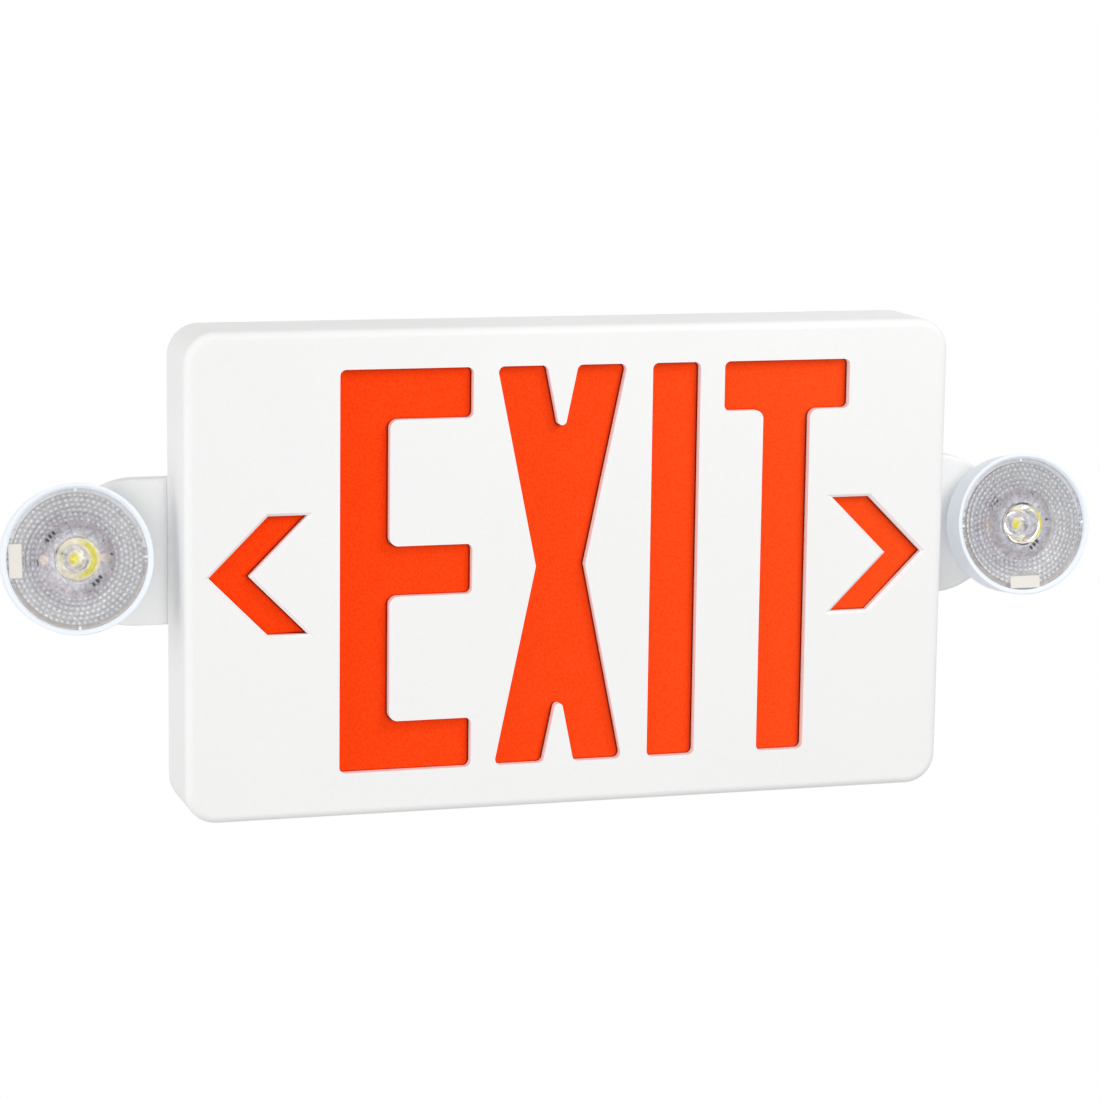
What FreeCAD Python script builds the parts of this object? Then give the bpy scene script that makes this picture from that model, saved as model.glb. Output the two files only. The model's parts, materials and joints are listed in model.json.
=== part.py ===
import FreeCAD, Part
import math
import os

V = FreeCAD.Vector

# Emergency exit light: a wall-mounted legend sign with an adjustable lamp head on an arm at each side.
# Millimetres. +X right, +Z up, the legend faces -Y. The wall is the plane Y = 0 and the origin is
# the centre of the housing's back.

# ---- clearances shared by every sub-part ----
GAP = 0.3             # between a piece and its seat, and between bodies that move apart
RUN_FIT = 0.06        # radial running fit of a shaft in its bore
SCREW_FIT = 0.05      # radial, between a screw and the hole it cuts its thread in

# ---- sign body ----
DEPTH = 42.0          # legend face to wall
COVER_W = 300.0
COVER_H = 184.0
CORNER_R = 12.0
EDGE_R = 3.3
FACE_T = 3.3
SKIRT_T = 2.4
REAR_REVEAL = 7.5     # housing left showing behind the cover's skirt
WALL_T = 2.2          # side walls of the housing
BACK_T = 2.5          # back plate of the housing
RIM_GAP = 6.0         # diffuser to the housing's front rim

# ---- legend ----
LEGEND_MARGIN = 15.8  # cover's edge to the letters, above and below their middle
STROKE = 19.05
LETTER_Z = 1.0        # middle of the letters above the middle of the sign
X_STROKE = 19.4       # width of a slanted stroke, measured across
OUTER_CORNER_R = 2.3
INNER_CORNER_R = 3.4
CHEVRON_MARGIN = 8.9  # cover's side to a chevron's tip
CHEVRON_H = 44.8
CHEVRON_ARM = 15.1    # width of an arm, measured across
CHEVRON_BEVEL = 1.1
DIFFUSER_MARGIN = 7.0 # cover's edge to the diffuser's
DIFFUSER_T = 2.0
DIFFUSER_R = 6.0
CLIP_L = 8.0          # moulded clips that hold the diffuser
CLIP_T = 1.5
CLIP_LIP = 1.2
CLIP_PITCH = 100.0
SNAP_L = 12.0         # snaps that hold the cover on the housing
SNAP_W = 3.0
SNAP_PROUD = 1.2
SNAP_X = 90.0
SNAP_DEPTH = 22.0     # legend face to the middle of a snap

# ---- mounting to the wall ----
ENTRY_R = 11.0        # cable entry
COLLAR_T = 2.5
COLLAR_H = 1.5
BOX_SCREW_SPACING = 88.9
BOX_SCREW_R = 2.4
PAD_R = 5.5
KEYHOLE_X = 100.0
KEYHOLE_Z = 37.0
KEYHOLE_R = 4.25
KEYHOLE_SLOT_R = 2.25
KEYHOLE_RISE = 9.0

# ---- screws ----
M3_R = 1.5
M3_HEAD_R = 2.8
M3_HEAD_H = 1.8
M3_LENGTH = 5.6
BOSS_R = 3.4

# ---- lamp arms ----
ARM_Z = 5.5           # lamp axis above the middle of the sign
ARM_H = 56.0
ARM_TAPER = 26.0      # centre of the arm's large round shoulder to the lamp axis
LAMP_CLEAR = 10.0     # cover's side to the lamp's drum
ARM_TIP_R = 15.0
ARM_SKIRT_GAP = 1.0   # cover's rear edge to the arm's front
ARM_WALL_GAP = 0.5
ARM_T = 2.5           # front wall of the arm
ARM_SIDE_T = 2.0
ARM_EDGE_R = 1.5
ARM_BOSS_R = 8.5
ARM_BOSS_H = 1.4
ARM_RIB_T = 1.6
TAB_H = 44.0
TAB_L = 16.0
TAB_SCREW_IN = 8.0    # tab screws from the tab's end
TAB_SCREW_PITCH = 28.0
WIRE_SLOT = 8.0

# ---- lamp swivel ----
KNUCKLE_R = 3.8       # rounded ends of fork and tongue
TONGUE_T = 5.0
FORK_T = 3.0
PIN_R = 1.5
PIN_HEAD_R = 2.6
PIN_HEAD_H = 1.2
FLANGE_R = 11.0
FLANGE_T = 1.5
FLANGE_GAP = 0.5      # tongue's end to the swivel flange
JOURNAL_R = 5.0
JOURNAL_TIP = 0.7
WIRE_BORE_R = 2.0
RING_R = 7.6
RING_T = 0.8
RING_GROOVE = 1.0

# ---- lamp head, along its own axis from the tilt pin ----
LAMP_R = 28.0
LAMP_DEPTH = 17.0
LAMP_BACK = 4.7       # tilt axis to the drum's back
LAMP_REST_TILT = 9.0  # degrees above level
DRUM_DRAFT = 3.0      # degrees
DRUM_EDGE_R = 4.0
DRUM_WALL = 2.2
RIM_BEVEL = 0.7
RIM_T = 2.0           # lens's edge to the drum's outside
LENS_T = 2.2
LENS_RECESS = 1.0
LENS_LEDGE = 1.6
LENS_NOTCH_W = 1.0
LENS_NOTCH_D = 1.4
GATE_W = 12.0
GATE_L = 5.5
GATE_T = 0.3
OPTIC_R = 8.5
OPTIC_TIP_R = 4.8
OPTIC_CLEAR = 1.6     # optic's tip to the lamp's board
EYE_R = 4.2
EYE_DEPTH = 1.8
EYE_RISE = 1.3
LED_WELL_R = 3.1
LED_WELL_DEPTH = 2.6
LAMP_BOARD_R = 16.5
LAMP_BOSS_H = 2.1
LAMP_BOSS_R = 2.8
LAMP_BOSS_X = 11.5
LED_W = 5.0
LED_BASE_T = 0.9
LED_DOME_R = 2.15
M2_R = 1.0
M2_HEAD_R = 1.9
M2_HEAD_H = 1.2
M2_LENGTH = 4.2

# ---- boards and parts inside ----
BOARD_T = 1.6
STRIP_L = 244.0
STRIP_W = 10.0
STRIP_IN = 23.3       # housing's top or bottom to the middle of a strip
STRIP_LIFT = 2.5
STRIP_SCREW_IN = 5.0
LEGEND_LED_COUNT = 8
LEGEND_LED_PITCH = 30.0
LEGEND_LED_W = 3.5
LEGEND_LED_H = 1.9
CONTROL_SIDE = 11.6   # arm's tab to the control board
CONTROL_CLEAR = 8.0   # lower strip to the control board
CONTROL_W = 96.0
CONTROL_H = 74.0
CONTROL_LIFT = 4.0
CONTROL_SCREW_IN = 4.5
CORE_W = 32.0
CORE_H = 27.0
CORE_T = 11.0
CORE_LEG = 10.6
COIL_T = 3.5
RELAY_SIZE = (19.0, 15.0, 15.5)
CAP_R = 5.0
CAP_H = 16.0
CAP_PITCH = 14.0
TERMINAL_SIZE = (30.0, 10.0, 12.0)
TERMINAL_WAYS = 3
TERMINAL_SCREW_R = 1.8
CELL_R = 11.0
CELL_L = 43.0
CELL_COUNT = 3
PACK_SIDE = 13.6      # arm's tab to the cells
PACK_Z = -25.0
WRAP_T = 14.0
STRAP_W = 10.0
STRAP_T = 1.2
STRAP_FOOT = 9.0
RIB_T = 2.0
RIB_H = 12.0

# ---- test button and pilot light, in the bottom wall ----
TEST_X = 55.0
PILOT_X = 38.0
TEST_Y = -18.0
BUTTON_R = 4.0
BUTTON_PROUD = 2.0
BUTTON_TRAVEL = 2.5
BUTTON_FLANGE_R = 5.5
BUTTON_FLANGE_T = 1.5
STEM_R = 2.0
STEM_IN = 3.0
SPRING_L = 5.3
SPRING_WIRE_R = 0.35
SPRING_R = 3.1
SPRING_TURNS = 3.5
SWITCH_SIZE = (14.0, 13.0, 8.5)
SWITCH_BOARD_W = 46.0
SWITCH_BOARD_D = 19.0
PILOT_R = 2.5
PILOT_FLANGE_R = 3.6
PILOT_FLANGE_T = 1.5
PILOT_PROUD = 1.0
PILOT_LED_L = 14.0
PILOT_COLLAR_R = 2.9
NOTCH_MARGIN = 8.0
NOTCH_R = 3.0

# ---- planes that follow from the sizes above ----
Y_FACE = -DEPTH
Y_FACE_BACK = Y_FACE + FACE_T
Y_SKIRT = -REAR_REVEAL
Y_DIFFUSER = Y_FACE_BACK + DIFFUSER_T
Y_RIM = Y_DIFFUSER + RIM_GAP
Y_BACK = -BACK_T
Y_SNAP = Y_FACE + SNAP_DEPTH
LETTER_H = COVER_H - 2 * LEGEND_MARGIN
E_LEFT = COVER_W * -0.30567   # the letters keep their places across the cover
E_W = COVER_W * 0.17
X_LEFT = COVER_W * -0.105
X_W = COVER_W * 0.17
I_LEFT = COVER_W * 0.09867
T_LEFT = COVER_W * 0.19467
T_W = COVER_W * 0.16933
CHEVRON_TIP_X = COVER_W / 2 - CHEVRON_MARGIN
DIFFUSER_W = COVER_W - 2 * DIFFUSER_MARGIN
DIFFUSER_H = COVER_H - 2 * DIFFUSER_MARGIN
COVER_IN_W = COVER_W - 2 * SKIRT_T
COVER_IN_H = COVER_H - 2 * SKIRT_T
HOUSING_W = COVER_IN_W - 2 * GAP
HOUSING_H = COVER_IN_H - 2 * GAP
HOUSING_R = CORNER_R - SKIRT_T - GAP
Z_FLOOR = -HOUSING_H / 2 + WALL_T
LAMP_X = COVER_W / 2 + LAMP_CLEAR + LAMP_R
ARM_BEND_X = LAMP_X - ARM_TAPER
Y_ARM = Y_SKIRT + ARM_SKIRT_GAP
Y_ARM_BACK = -ARM_WALL_GAP
Y_TAB_BACK = Y_ARM + ARM_T
ARM_ROOT_X = HOUSING_W / 2 + GAP
TAB_END_X = ARM_ROOT_X - TAB_L
TAB_SCREW_X = TAB_END_X + TAB_SCREW_IN
STRIP_Z = HOUSING_H / 2 - STRIP_IN
CONTROL_X = TAB_END_X - CONTROL_SIDE - CONTROL_W / 2
CONTROL_Z = -STRIP_Z + STRIP_W / 2 + CONTROL_CLEAR + CONTROL_H / 2
PACK_X = -(TAB_END_X - PACK_SIDE - CELL_COUNT * CELL_R)
Y_FLANGE = Y_ARM - GAP
Y_PIVOT = Y_FLANGE - FLANGE_T - FLANGE_GAP - KNUCKLE_R
Y_RING = Y_TAB_BACK + ARM_BOSS_H + GAP
LAMP_FRONT = LAMP_BACK + LAMP_DEPTH
LENS_R = LAMP_R - RIM_T
LENS_FRONT = LAMP_FRONT - LENS_RECESS
LENS_BACK = LENS_FRONT - LENS_T
LAMP_FLOOR = LAMP_BACK + DRUM_WALL
LAMP_BOARD = LAMP_FLOOR + LAMP_BOSS_H
OPTIC_L = LENS_BACK - LAMP_BOARD - BOARD_T - OPTIC_CLEAR
Y_STRIP = Y_BACK - STRIP_LIFT
Y_CONTROL = Y_BACK - CONTROL_LIFT
Y_CONTROL_TOP = Y_CONTROL - BOARD_T
Y_CELLS = Y_BACK - GAP - CELL_R
Z_FLANGE = Z_FLOOR + GAP
Z_SPRING = Z_FLANGE + BUTTON_FLANGE_T
Z_SWITCH = Z_SPRING + SPRING_L
Z_SWITCH_BOARD = Z_SWITCH + SWITCH_SIZE[2]
SWITCH_BOARD_X = (TEST_X + PILOT_X) / 2

SIDES = {"left": -1, "right": 1}
LENS_TURN = {"left": 180.0, "right": 270.0}   # where the lens's gate mark points


# ---------------------------------------------------------------- small helpers
def box(x0, x1, y0, y1, z0, z1):
    """A box between two corners."""
    low = V(min(x0, x1), min(y0, y1), min(z0, z1))
    return Part.makeBox(abs(x1 - x0), abs(y1 - y0), abs(z1 - z0), low)


def post(radius, x, z, y0, y1):
    """A round bar along Y."""
    return Part.makeCylinder(radius, abs(y1 - y0), V(x, min(y0, y1), z), V(0, 1, 0))


def stud(radius, x, y, z0, z1):
    """A round bar along Z."""
    return Part.makeCylinder(radius, abs(z1 - z0), V(x, y, min(z0, z1)), V(0, 0, 1))


def outline(corners):
    """A closed wire in the XZ plane through corners (x, z, radius)."""
    edges = []
    starts = []
    ends = []
    count = len(corners)
    for i in range(count):
        x, z, radius = corners[i]
        here = V(x, 0, z)
        before = V(corners[i - 1][0], 0, corners[i - 1][1])
        after = V(corners[(i + 1) % count][0], 0, corners[(i + 1) % count][1])
        back = (before - here).normalize()
        ahead = (after - here).normalize()
        half = back.getAngle(ahead) / 2
        reach = radius / math.tan(half)
        start = here + back * reach
        end = here + ahead * reach
        if radius > 0:
            toward = (back + ahead).normalize()
            middle = here + toward * (radius / math.sin(half) - radius)
            edges.append(Part.Arc(start, middle, end).toShape())
        starts.append(start)
        ends.append(end)
    for i in range(count):
        edges.append(Part.LineSegment(ends[i], starts[(i + 1) % count]).toShape())
    return Part.Wire(Part.__sortEdges__(edges))


def prism(wire, y0, y1):
    """A wire of the XZ plane, drawn out from y0 to y1."""
    face = Part.Face(wire)
    face.translate(V(0, y0, 0))
    return face.extrude(V(0, y1 - y0, 0))


def rounded_rect(width, height, radius, x=0.0, z=0.0):
    """The corners of a rectangle about (x, z)."""
    right = x + width / 2
    left = x - width / 2
    top = z + height / 2
    low = z - height / 2
    return [(left, low, radius), (right, low, radius), (right, top, radius), (left, top, radius)]


def join(shapes):
    """One solid of several that touch."""
    return shapes[0].multiFuse(shapes[1:]).removeSplitter()


def group(shapes):
    """Separate solids that share a node."""
    return Part.makeCompound(shapes)


def turned(profile):
    """A closed profile of the XZ plane, revolved about the Z axis."""
    return Part.Face(profile).revolve(V(0, 0, 0), V(0, 0, 1), 360)


def screw(x, z, y_seat, length=M3_LENGTH):
    """A pan-head screw driven towards +Y, its head on y_seat."""
    head = post(M3_HEAD_R, x, z, y_seat - M3_HEAD_H, y_seat)
    rim = [edge for edge in head.Edges if abs(edge.CenterOfMass.y - y_seat + M3_HEAD_H) < 0.01]
    head = head.makeChamfer(M3_HEAD_H / 3, rim[:1])
    return head.fuse(post(M3_R, x, z, y_seat, y_seat + length)).removeSplitter()


def screw_hole(x, z, y_seat, length=M3_LENGTH):
    """The blind hole that such a screw cuts its thread in."""
    return post(M3_R + SCREW_FIT, x, z, y_seat, y_seat + length + GAP)


def corners_of(x, z, width, height, inset):
    """Four places inset from the corners of a rectangle."""
    dx = width / 2 - inset
    dz = height / 2 - inset
    return [(x + sx * dx, z + sz * dz) for sx in (-1, 1) for sz in (-1, 1)]


# ---------------------------------------------------------------- legend
def letter_e():
    top = LETTER_Z + LETTER_H / 2
    low = LETTER_Z - LETTER_H / 2
    mid = LETTER_Z
    left = E_LEFT
    right = E_LEFT + E_W
    stem = E_LEFT + STROKE
    half = STROKE / 2
    out = OUTER_CORNER_R
    ins = INNER_CORNER_R
    return outline([
        (left, low, out), (right, low, out), (right, low + STROKE, out), (stem, low + STROKE, ins),
        (stem, mid - half, ins), (right, mid - half, out), (right, mid + half, out),
        (stem, mid + half, ins), (stem, top - STROKE, ins), (right, top - STROKE, out),
        (right, top, out), (left, top, out)])


def letter_x():
    centre = X_LEFT + X_W / 2
    tall = LETTER_H / 2
    slope = (X_W - X_STROKE) / LETTER_H
    waist = X_STROKE / 2
    notch = waist / slope
    out = OUTER_CORNER_R
    ins = INNER_CORNER_R / 2
    half = X_W / 2
    inner = half - X_STROKE
    mid = LETTER_Z
    return outline([
        (centre - half, mid - tall, out), (centre - inner, mid - tall, out), (centre, mid - notch, ins),
        (centre + inner, mid - tall, out), (centre + half, mid - tall, out), (centre + waist, mid, ins),
        (centre + half, mid + tall, out), (centre + inner, mid + tall, out), (centre, mid + notch, ins),
        (centre - inner, mid + tall, out), (centre - half, mid + tall, out), (centre - waist, mid, ins)])


def letter_i():
    return outline(rounded_rect(STROKE, LETTER_H, OUTER_CORNER_R, I_LEFT + STROKE / 2, LETTER_Z))


def letter_t():
    top = LETTER_Z + LETTER_H / 2
    low = LETTER_Z - LETTER_H / 2
    left = T_LEFT
    right = T_LEFT + T_W
    stem_left = T_LEFT + (T_W - STROKE) / 2
    stem_right = stem_left + STROKE
    out = OUTER_CORNER_R
    ins = INNER_CORNER_R
    return outline([
        (stem_left, low, out), (stem_right, low, out), (stem_right, top - STROKE, ins),
        (right, top - STROKE, out), (right, top, out), (left, top, out), (left, top - STROKE, out),
        (stem_left, top - STROKE, ins)])


def chevron(side, grow=0.0):
    """An arrow head that points away from the middle of the sign, its edges moved out by grow."""
    half = CHEVRON_H / 2 + grow
    tip = CHEVRON_TIP_X + grow * math.sqrt(2)
    vertex = CHEVRON_TIP_X - CHEVRON_ARM - grow * math.sqrt(2)
    mid = LETTER_Z
    points = [(tip, mid), (tip - half, mid + half), (vertex - half, mid + half),
              (vertex, mid), (vertex - half, mid - half), (tip - half, mid - half)]
    if side < 0:
        points.reverse()
    return outline([(side * x, z, 0.0) for x, z in points])


def chevron_cut(side):
    """The chevron's opening with a bevel round its front edge."""
    straight = prism(chevron(side), Y_FACE, Y_FACE_BACK)
    wide = chevron(side, CHEVRON_BEVEL)
    wide.translate(V(0, Y_FACE, 0))
    narrow = chevron(side)
    narrow.translate(V(0, Y_FACE + CHEVRON_BEVEL, 0))
    bevel = Part.makeLoft([wide, narrow], True, True)
    return straight.fuse(bevel)


# ---------------------------------------------------------------- cover and diffuser
def diffuser_clips():
    """Hooks on the cover's inside that reach over the diffuser's edges."""
    clips = []
    lip_y = Y_DIFFUSER + GAP
    for sign in (-1, 1):
        edge = sign * (DIFFUSER_H / 2 + GAP)
        for x in (-CLIP_PITCH, 0.0, CLIP_PITCH):
            x0 = x - CLIP_L / 2
            x1 = x + CLIP_L / 2
            clips.append(box(x0, x1, Y_FACE_BACK - GAP, lip_y + CLIP_LIP, edge, edge + sign * CLIP_T))
            clips.append(box(x0, x1, lip_y, lip_y + CLIP_LIP, edge - sign * CLIP_LIP, edge))
    return clips


def snaps(grow=0.0):
    """Bars on the skirt's inside, or with grow the windows that they click into."""
    bars = []
    for sign in (-1, 1):
        wall = sign * (COVER_IN_H / 2 + GAP)
        inner = sign * (COVER_IN_H / 2 - SNAP_PROUD - grow * WALL_T / GAP)
        for x in (-SNAP_X, SNAP_X):
            reach = SNAP_L / 2 + grow
            tall = SNAP_W / 2 + grow
            bars.append(box(x - reach, x + reach, Y_SNAP - tall, Y_SNAP + tall, inner, wall))
    return bars


def button_notch():
    """A slot in the skirt, open at its rear, that clears the button and the pilot light."""
    left = PILOT_X - NOTCH_MARGIN
    right = TEST_X + NOTCH_MARGIN
    front = TEST_Y - NOTCH_MARGIN
    low = -COVER_H / 2 - GAP
    high = -COVER_IN_H / 2 + GAP
    slot = box(left, right, front, Y_SKIRT + GAP, low, high)
    inner = [edge for edge in slot.Edges if abs(edge.CenterOfMass.y - front) < 0.01]
    upright = [edge for edge in inner if abs(edge.CenterOfMass.z - (low + high) / 2) < 0.01]
    return slot.makeFillet(NOTCH_R, upright)


def front_cover():
    cover = prism(outline(rounded_rect(COVER_W, COVER_H, CORNER_R)), Y_FACE, Y_SKIRT)
    rim = [edge for edge in cover.Edges if abs(edge.CenterOfMass.y - Y_FACE) < 0.01]
    cover = cover.makeFillet(EDGE_R, rim)
    inside = outline(rounded_rect(COVER_IN_W, COVER_IN_H, CORNER_R - SKIRT_T))
    cover = cover.cut(prism(inside, Y_FACE_BACK, Y_SKIRT))
    letters = [prism(wire, Y_FACE, Y_FACE_BACK) for wire in (letter_e(), letter_x(), letter_i(), letter_t())]
    chevrons = [chevron_cut(side) for side in (-1, 1)]
    cover = cover.cut(letters + chevrons + [button_notch()])
    return join([cover] + diffuser_clips() + snaps())


def diffuser_panel():
    wire = outline(rounded_rect(DIFFUSER_W, DIFFUSER_H, DIFFUSER_R))
    return prism(wire, Y_FACE_BACK, Y_DIFFUSER)


# ---------------------------------------------------------------- housing
def keyhole(side):
    """A keyhole that drops over the head of a wall screw."""
    x = side * KEYHOLE_X
    top = KEYHOLE_Z + KEYHOLE_RISE
    mouth = post(KEYHOLE_R, x, KEYHOLE_Z, Y_BACK, 0)
    slot = box(x - KEYHOLE_SLOT_R, x + KEYHOLE_SLOT_R, Y_BACK, 0, KEYHOLE_Z, top)
    return join([mouth, slot, post(KEYHOLE_SLOT_R, x, top, Y_BACK, 0)])


def strip_screws():
    reach = STRIP_L / 2 - STRIP_SCREW_IN
    return [(sx * reach, sz * STRIP_Z) for sx in (-1, 1) for sz in (-1, 1)]


def tab_screws(side):
    return [(side * TAB_SCREW_X, ARM_Z + sign * TAB_SCREW_PITCH / 2) for sign in (-1, 1)]


def control_screws():
    return corners_of(CONTROL_X, CONTROL_Z, CONTROL_W, CONTROL_H, CONTROL_SCREW_IN)


def strap_screws():
    reach = CELL_COUNT * CELL_R + GAP + STRAP_T + STRAP_FOOT / 2
    return [(PACK_X + sign * reach, PACK_Z) for sign in (-1, 1)]


def switch_shelves():
    """Two ribs of the housing that the switch board rests on."""
    ribs = []
    for sign in (-1, 1):
        x = SWITCH_BOARD_X + sign * (SWITCH_BOARD_W / 2 - RIB_T)
        front = TEST_Y - SWITCH_SIZE[1] / 2
        ribs.append(box(x - RIB_T / 2, x + RIB_T / 2, front, Y_BACK + GAP, Z_FLOOR - GAP, Z_SWITCH_BOARD))
    return ribs


def battery_ribs():
    """A ledge under the cells and a stop at each side of them."""
    half = CELL_COUNT * CELL_R + GAP
    low = PACK_Z - CELL_L / 2 - GAP
    ledge = box(PACK_X - half, PACK_X + half, Y_BACK - RIB_H, Y_BACK + GAP, low - RIB_T, low)
    high = PACK_Z + CELL_L / 2 + GAP
    stop = box(PACK_X - half / 2, PACK_X + half / 2, Y_BACK - RIB_H, Y_BACK + GAP, high, high + RIB_T)
    return [ledge, stop]


def housing():
    shell = prism(outline(rounded_rect(HOUSING_W, HOUSING_H, HOUSING_R)), Y_RIM, 0)
    cavity = rounded_rect(HOUSING_W - 2 * WALL_T, HOUSING_H - 2 * WALL_T, HOUSING_R - WALL_T)
    shell = shell.cut(prism(outline(cavity), Y_RIM, Y_BACK))
    root = Y_BACK + GAP
    added = [post(ENTRY_R + COLLAR_T, 0, 0, Y_BACK - COLLAR_H, root)]
    added += [post(PAD_R, 0, sign * BOX_SCREW_SPACING / 2, Y_BACK - COLLAR_H, root) for sign in (-1, 1)]
    added += [post(BOSS_R, x, z, Y_STRIP, root) for x, z in strip_screws()]
    added += [post(BOSS_R, x, z, Y_CONTROL, root) for x, z in control_screws()]
    for side in (-1, 1):
        added += [post(BOSS_R, x, z, Y_TAB_BACK, root) for x, z in tab_screws(side)]
    added += switch_shelves() + battery_ribs()
    shell = join([shell] + added)
    cuts = [post(ENTRY_R, 0, 0, Y_BACK - COLLAR_H, 0)]
    cuts += [post(BOX_SCREW_R, 0, sign * BOX_SCREW_SPACING / 2, Y_BACK - COLLAR_H, 0) for sign in (-1, 1)]
    cuts += [keyhole(side) for side in (-1, 1)]
    cuts += [screw_hole(x, z, Y_STRIP - BOARD_T) for x, z in strip_screws()]
    cuts += [screw_hole(x, z, Y_CONTROL_TOP) for x, z in control_screws()]
    cuts += [screw_hole(x, z, Y_BACK - STRAP_T, M3_LENGTH / 2) for x, z in strap_screws()]
    for side in (-1, 1):
        cuts += [screw_hole(x, z, Y_ARM) for x, z in tab_screws(side)]
        outer = side * HOUSING_W / 2
        inner = side * (HOUSING_W / 2 - WALL_T)
        tall = TAB_H / 2 + GAP
        cuts.append(box(inner, outer, Y_ARM - GAP, Y_TAB_BACK + GAP, ARM_Z - tall, ARM_Z + tall))
        wire = WIRE_SLOT / 2
        cuts.append(box(inner, outer, Y_TAB_BACK, Y_BACK, ARM_Z - wire, ARM_Z + wire))
    cuts += snaps(GAP)
    cuts.append(stud(BUTTON_R + GAP, TEST_X, TEST_Y, -HOUSING_H / 2, Z_FLOOR))
    cuts.append(stud(PILOT_R + RUN_FIT, PILOT_X, TEST_Y, -HOUSING_H / 2, Z_FLOOR))
    return shell.cut(cuts)


# ---------------------------------------------------------------- lamp arms
def arm_outline(side, inset=0.0):
    """A D-shaped root that narrows along two tangents to a round tip about the lamp axis."""
    big = ARM_H / 2 - inset
    small = ARM_TIP_R - inset
    root = ARM_ROOT_X + inset
    lean = math.asin((big - small) / (LAMP_X - ARM_BEND_X))

    def at(centre, radius, angle):
        return V(side * (centre + radius * math.cos(angle)), 0, ARM_Z + radius * math.sin(angle))

    touch = math.pi / 2 - lean
    between = (math.pi / 2 + touch) / 2
    top = V(side * root, 0, ARM_Z + big)
    low = V(side * root, 0, ARM_Z - big)
    edges = [
        Part.LineSegment(low, top),
        Part.LineSegment(top, at(ARM_BEND_X, big, math.pi / 2)),
        Part.Arc(at(ARM_BEND_X, big, math.pi / 2), at(ARM_BEND_X, big, between), at(ARM_BEND_X, big, touch)),
        Part.LineSegment(at(ARM_BEND_X, big, touch), at(LAMP_X, small, touch)),
        Part.Arc(at(LAMP_X, small, touch), at(LAMP_X, small, 0), at(LAMP_X, small, -touch)),
        Part.LineSegment(at(LAMP_X, small, -touch), at(ARM_BEND_X, big, -touch)),
        Part.Arc(at(ARM_BEND_X, big, -touch), at(ARM_BEND_X, big, -between), at(ARM_BEND_X, big, -math.pi / 2)),
        Part.LineSegment(at(ARM_BEND_X, big, -math.pi / 2), low)]
    return Part.Wire([edge.toShape() for edge in edges])


def lamp_arm(side):
    """A shallow moulding, open at the wall, with a tab that is screwed down inside the housing."""
    arm = prism(arm_outline(side), Y_ARM, Y_ARM_BACK)
    front = [edge for edge in arm.Edges
             if abs(edge.CenterOfMass.y - Y_ARM) < 0.01 and abs(edge.CenterOfMass.x) > ARM_ROOT_X + GAP]
    arm = arm.makeFillet(ARM_EDGE_R, front)
    arm = arm.cut(prism(arm_outline(side, ARM_SIDE_T), Y_TAB_BACK, Y_ARM_BACK))
    boss = post(ARM_BOSS_R, side * LAMP_X, ARM_Z, Y_ARM + GAP, Y_TAB_BACK + ARM_BOSS_H)
    inner = side * (ARM_ROOT_X + GAP)
    near = side * (LAMP_X - ARM_BOSS_R + ARM_RIB_T)
    ribs = []
    for z in (ARM_Z - WIRE_SLOT, ARM_Z + WIRE_SLOT):
        rib_end = side * (LAMP_X - ARM_RIB_T)
        ribs.append(box(inner, rib_end, Y_TAB_BACK - GAP, Y_TAB_BACK + ARM_BOSS_H,
                        z - ARM_RIB_T / 2, z + ARM_RIB_T / 2))
    tab = box(side * TAB_END_X, inner, Y_ARM, Y_TAB_BACK, ARM_Z - TAB_H / 2, ARM_Z + TAB_H / 2)
    arm = join([arm, boss, tab] + ribs)
    bore = post(JOURNAL_R + RUN_FIT, side * LAMP_X, ARM_Z, Y_ARM, Y_ARM_BACK)
    wire = WIRE_SLOT / 2
    slot = box(side * ARM_ROOT_X, side * (ARM_ROOT_X + ARM_SIDE_T), Y_TAB_BACK, Y_ARM_BACK,
               ARM_Z - wire, ARM_Z + wire)
    holes = [post(M3_R + SCREW_FIT, x, z, Y_ARM, Y_TAB_BACK) for x, z in tab_screws(side)]
    return arm.cut([bore, slot] + holes)


def arm_screws(side):
    return group([screw(x, z, Y_ARM) for x, z in tab_screws(side)])


# ---------------------------------------------------------------- lamp swivel
def at_arm(shape, side):
    """From the tilt pin's own frame, its Z forward and its Y up, to the end of an arm."""
    shape.rotate(V(0, 0, 0), V(1, 0, 0), 90)
    shape.translate(V(side * LAMP_X, Y_PIVOT, ARM_Z))
    return shape


def at_lamp(shape, side):
    """As at_arm, with the lamp head tilted up to its rest angle."""
    shape.rotate(V(0, 0, 0), V(1, 0, 0), 90 - LAMP_REST_TILT)
    shape.translate(V(side * LAMP_X, Y_PIVOT, ARM_Z))
    return shape


def knuckle(x0, x1, root):
    """A flat lug about the tilt axis, round at its end, that runs to the height root."""
    lug = Part.makeCylinder(KNUCKLE_R, x1 - x0, V(x0, 0, 0), V(1, 0, 0))
    return lug.fuse(box(x0, x1, -KNUCKLE_R, KNUCKLE_R, 0, root))


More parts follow.
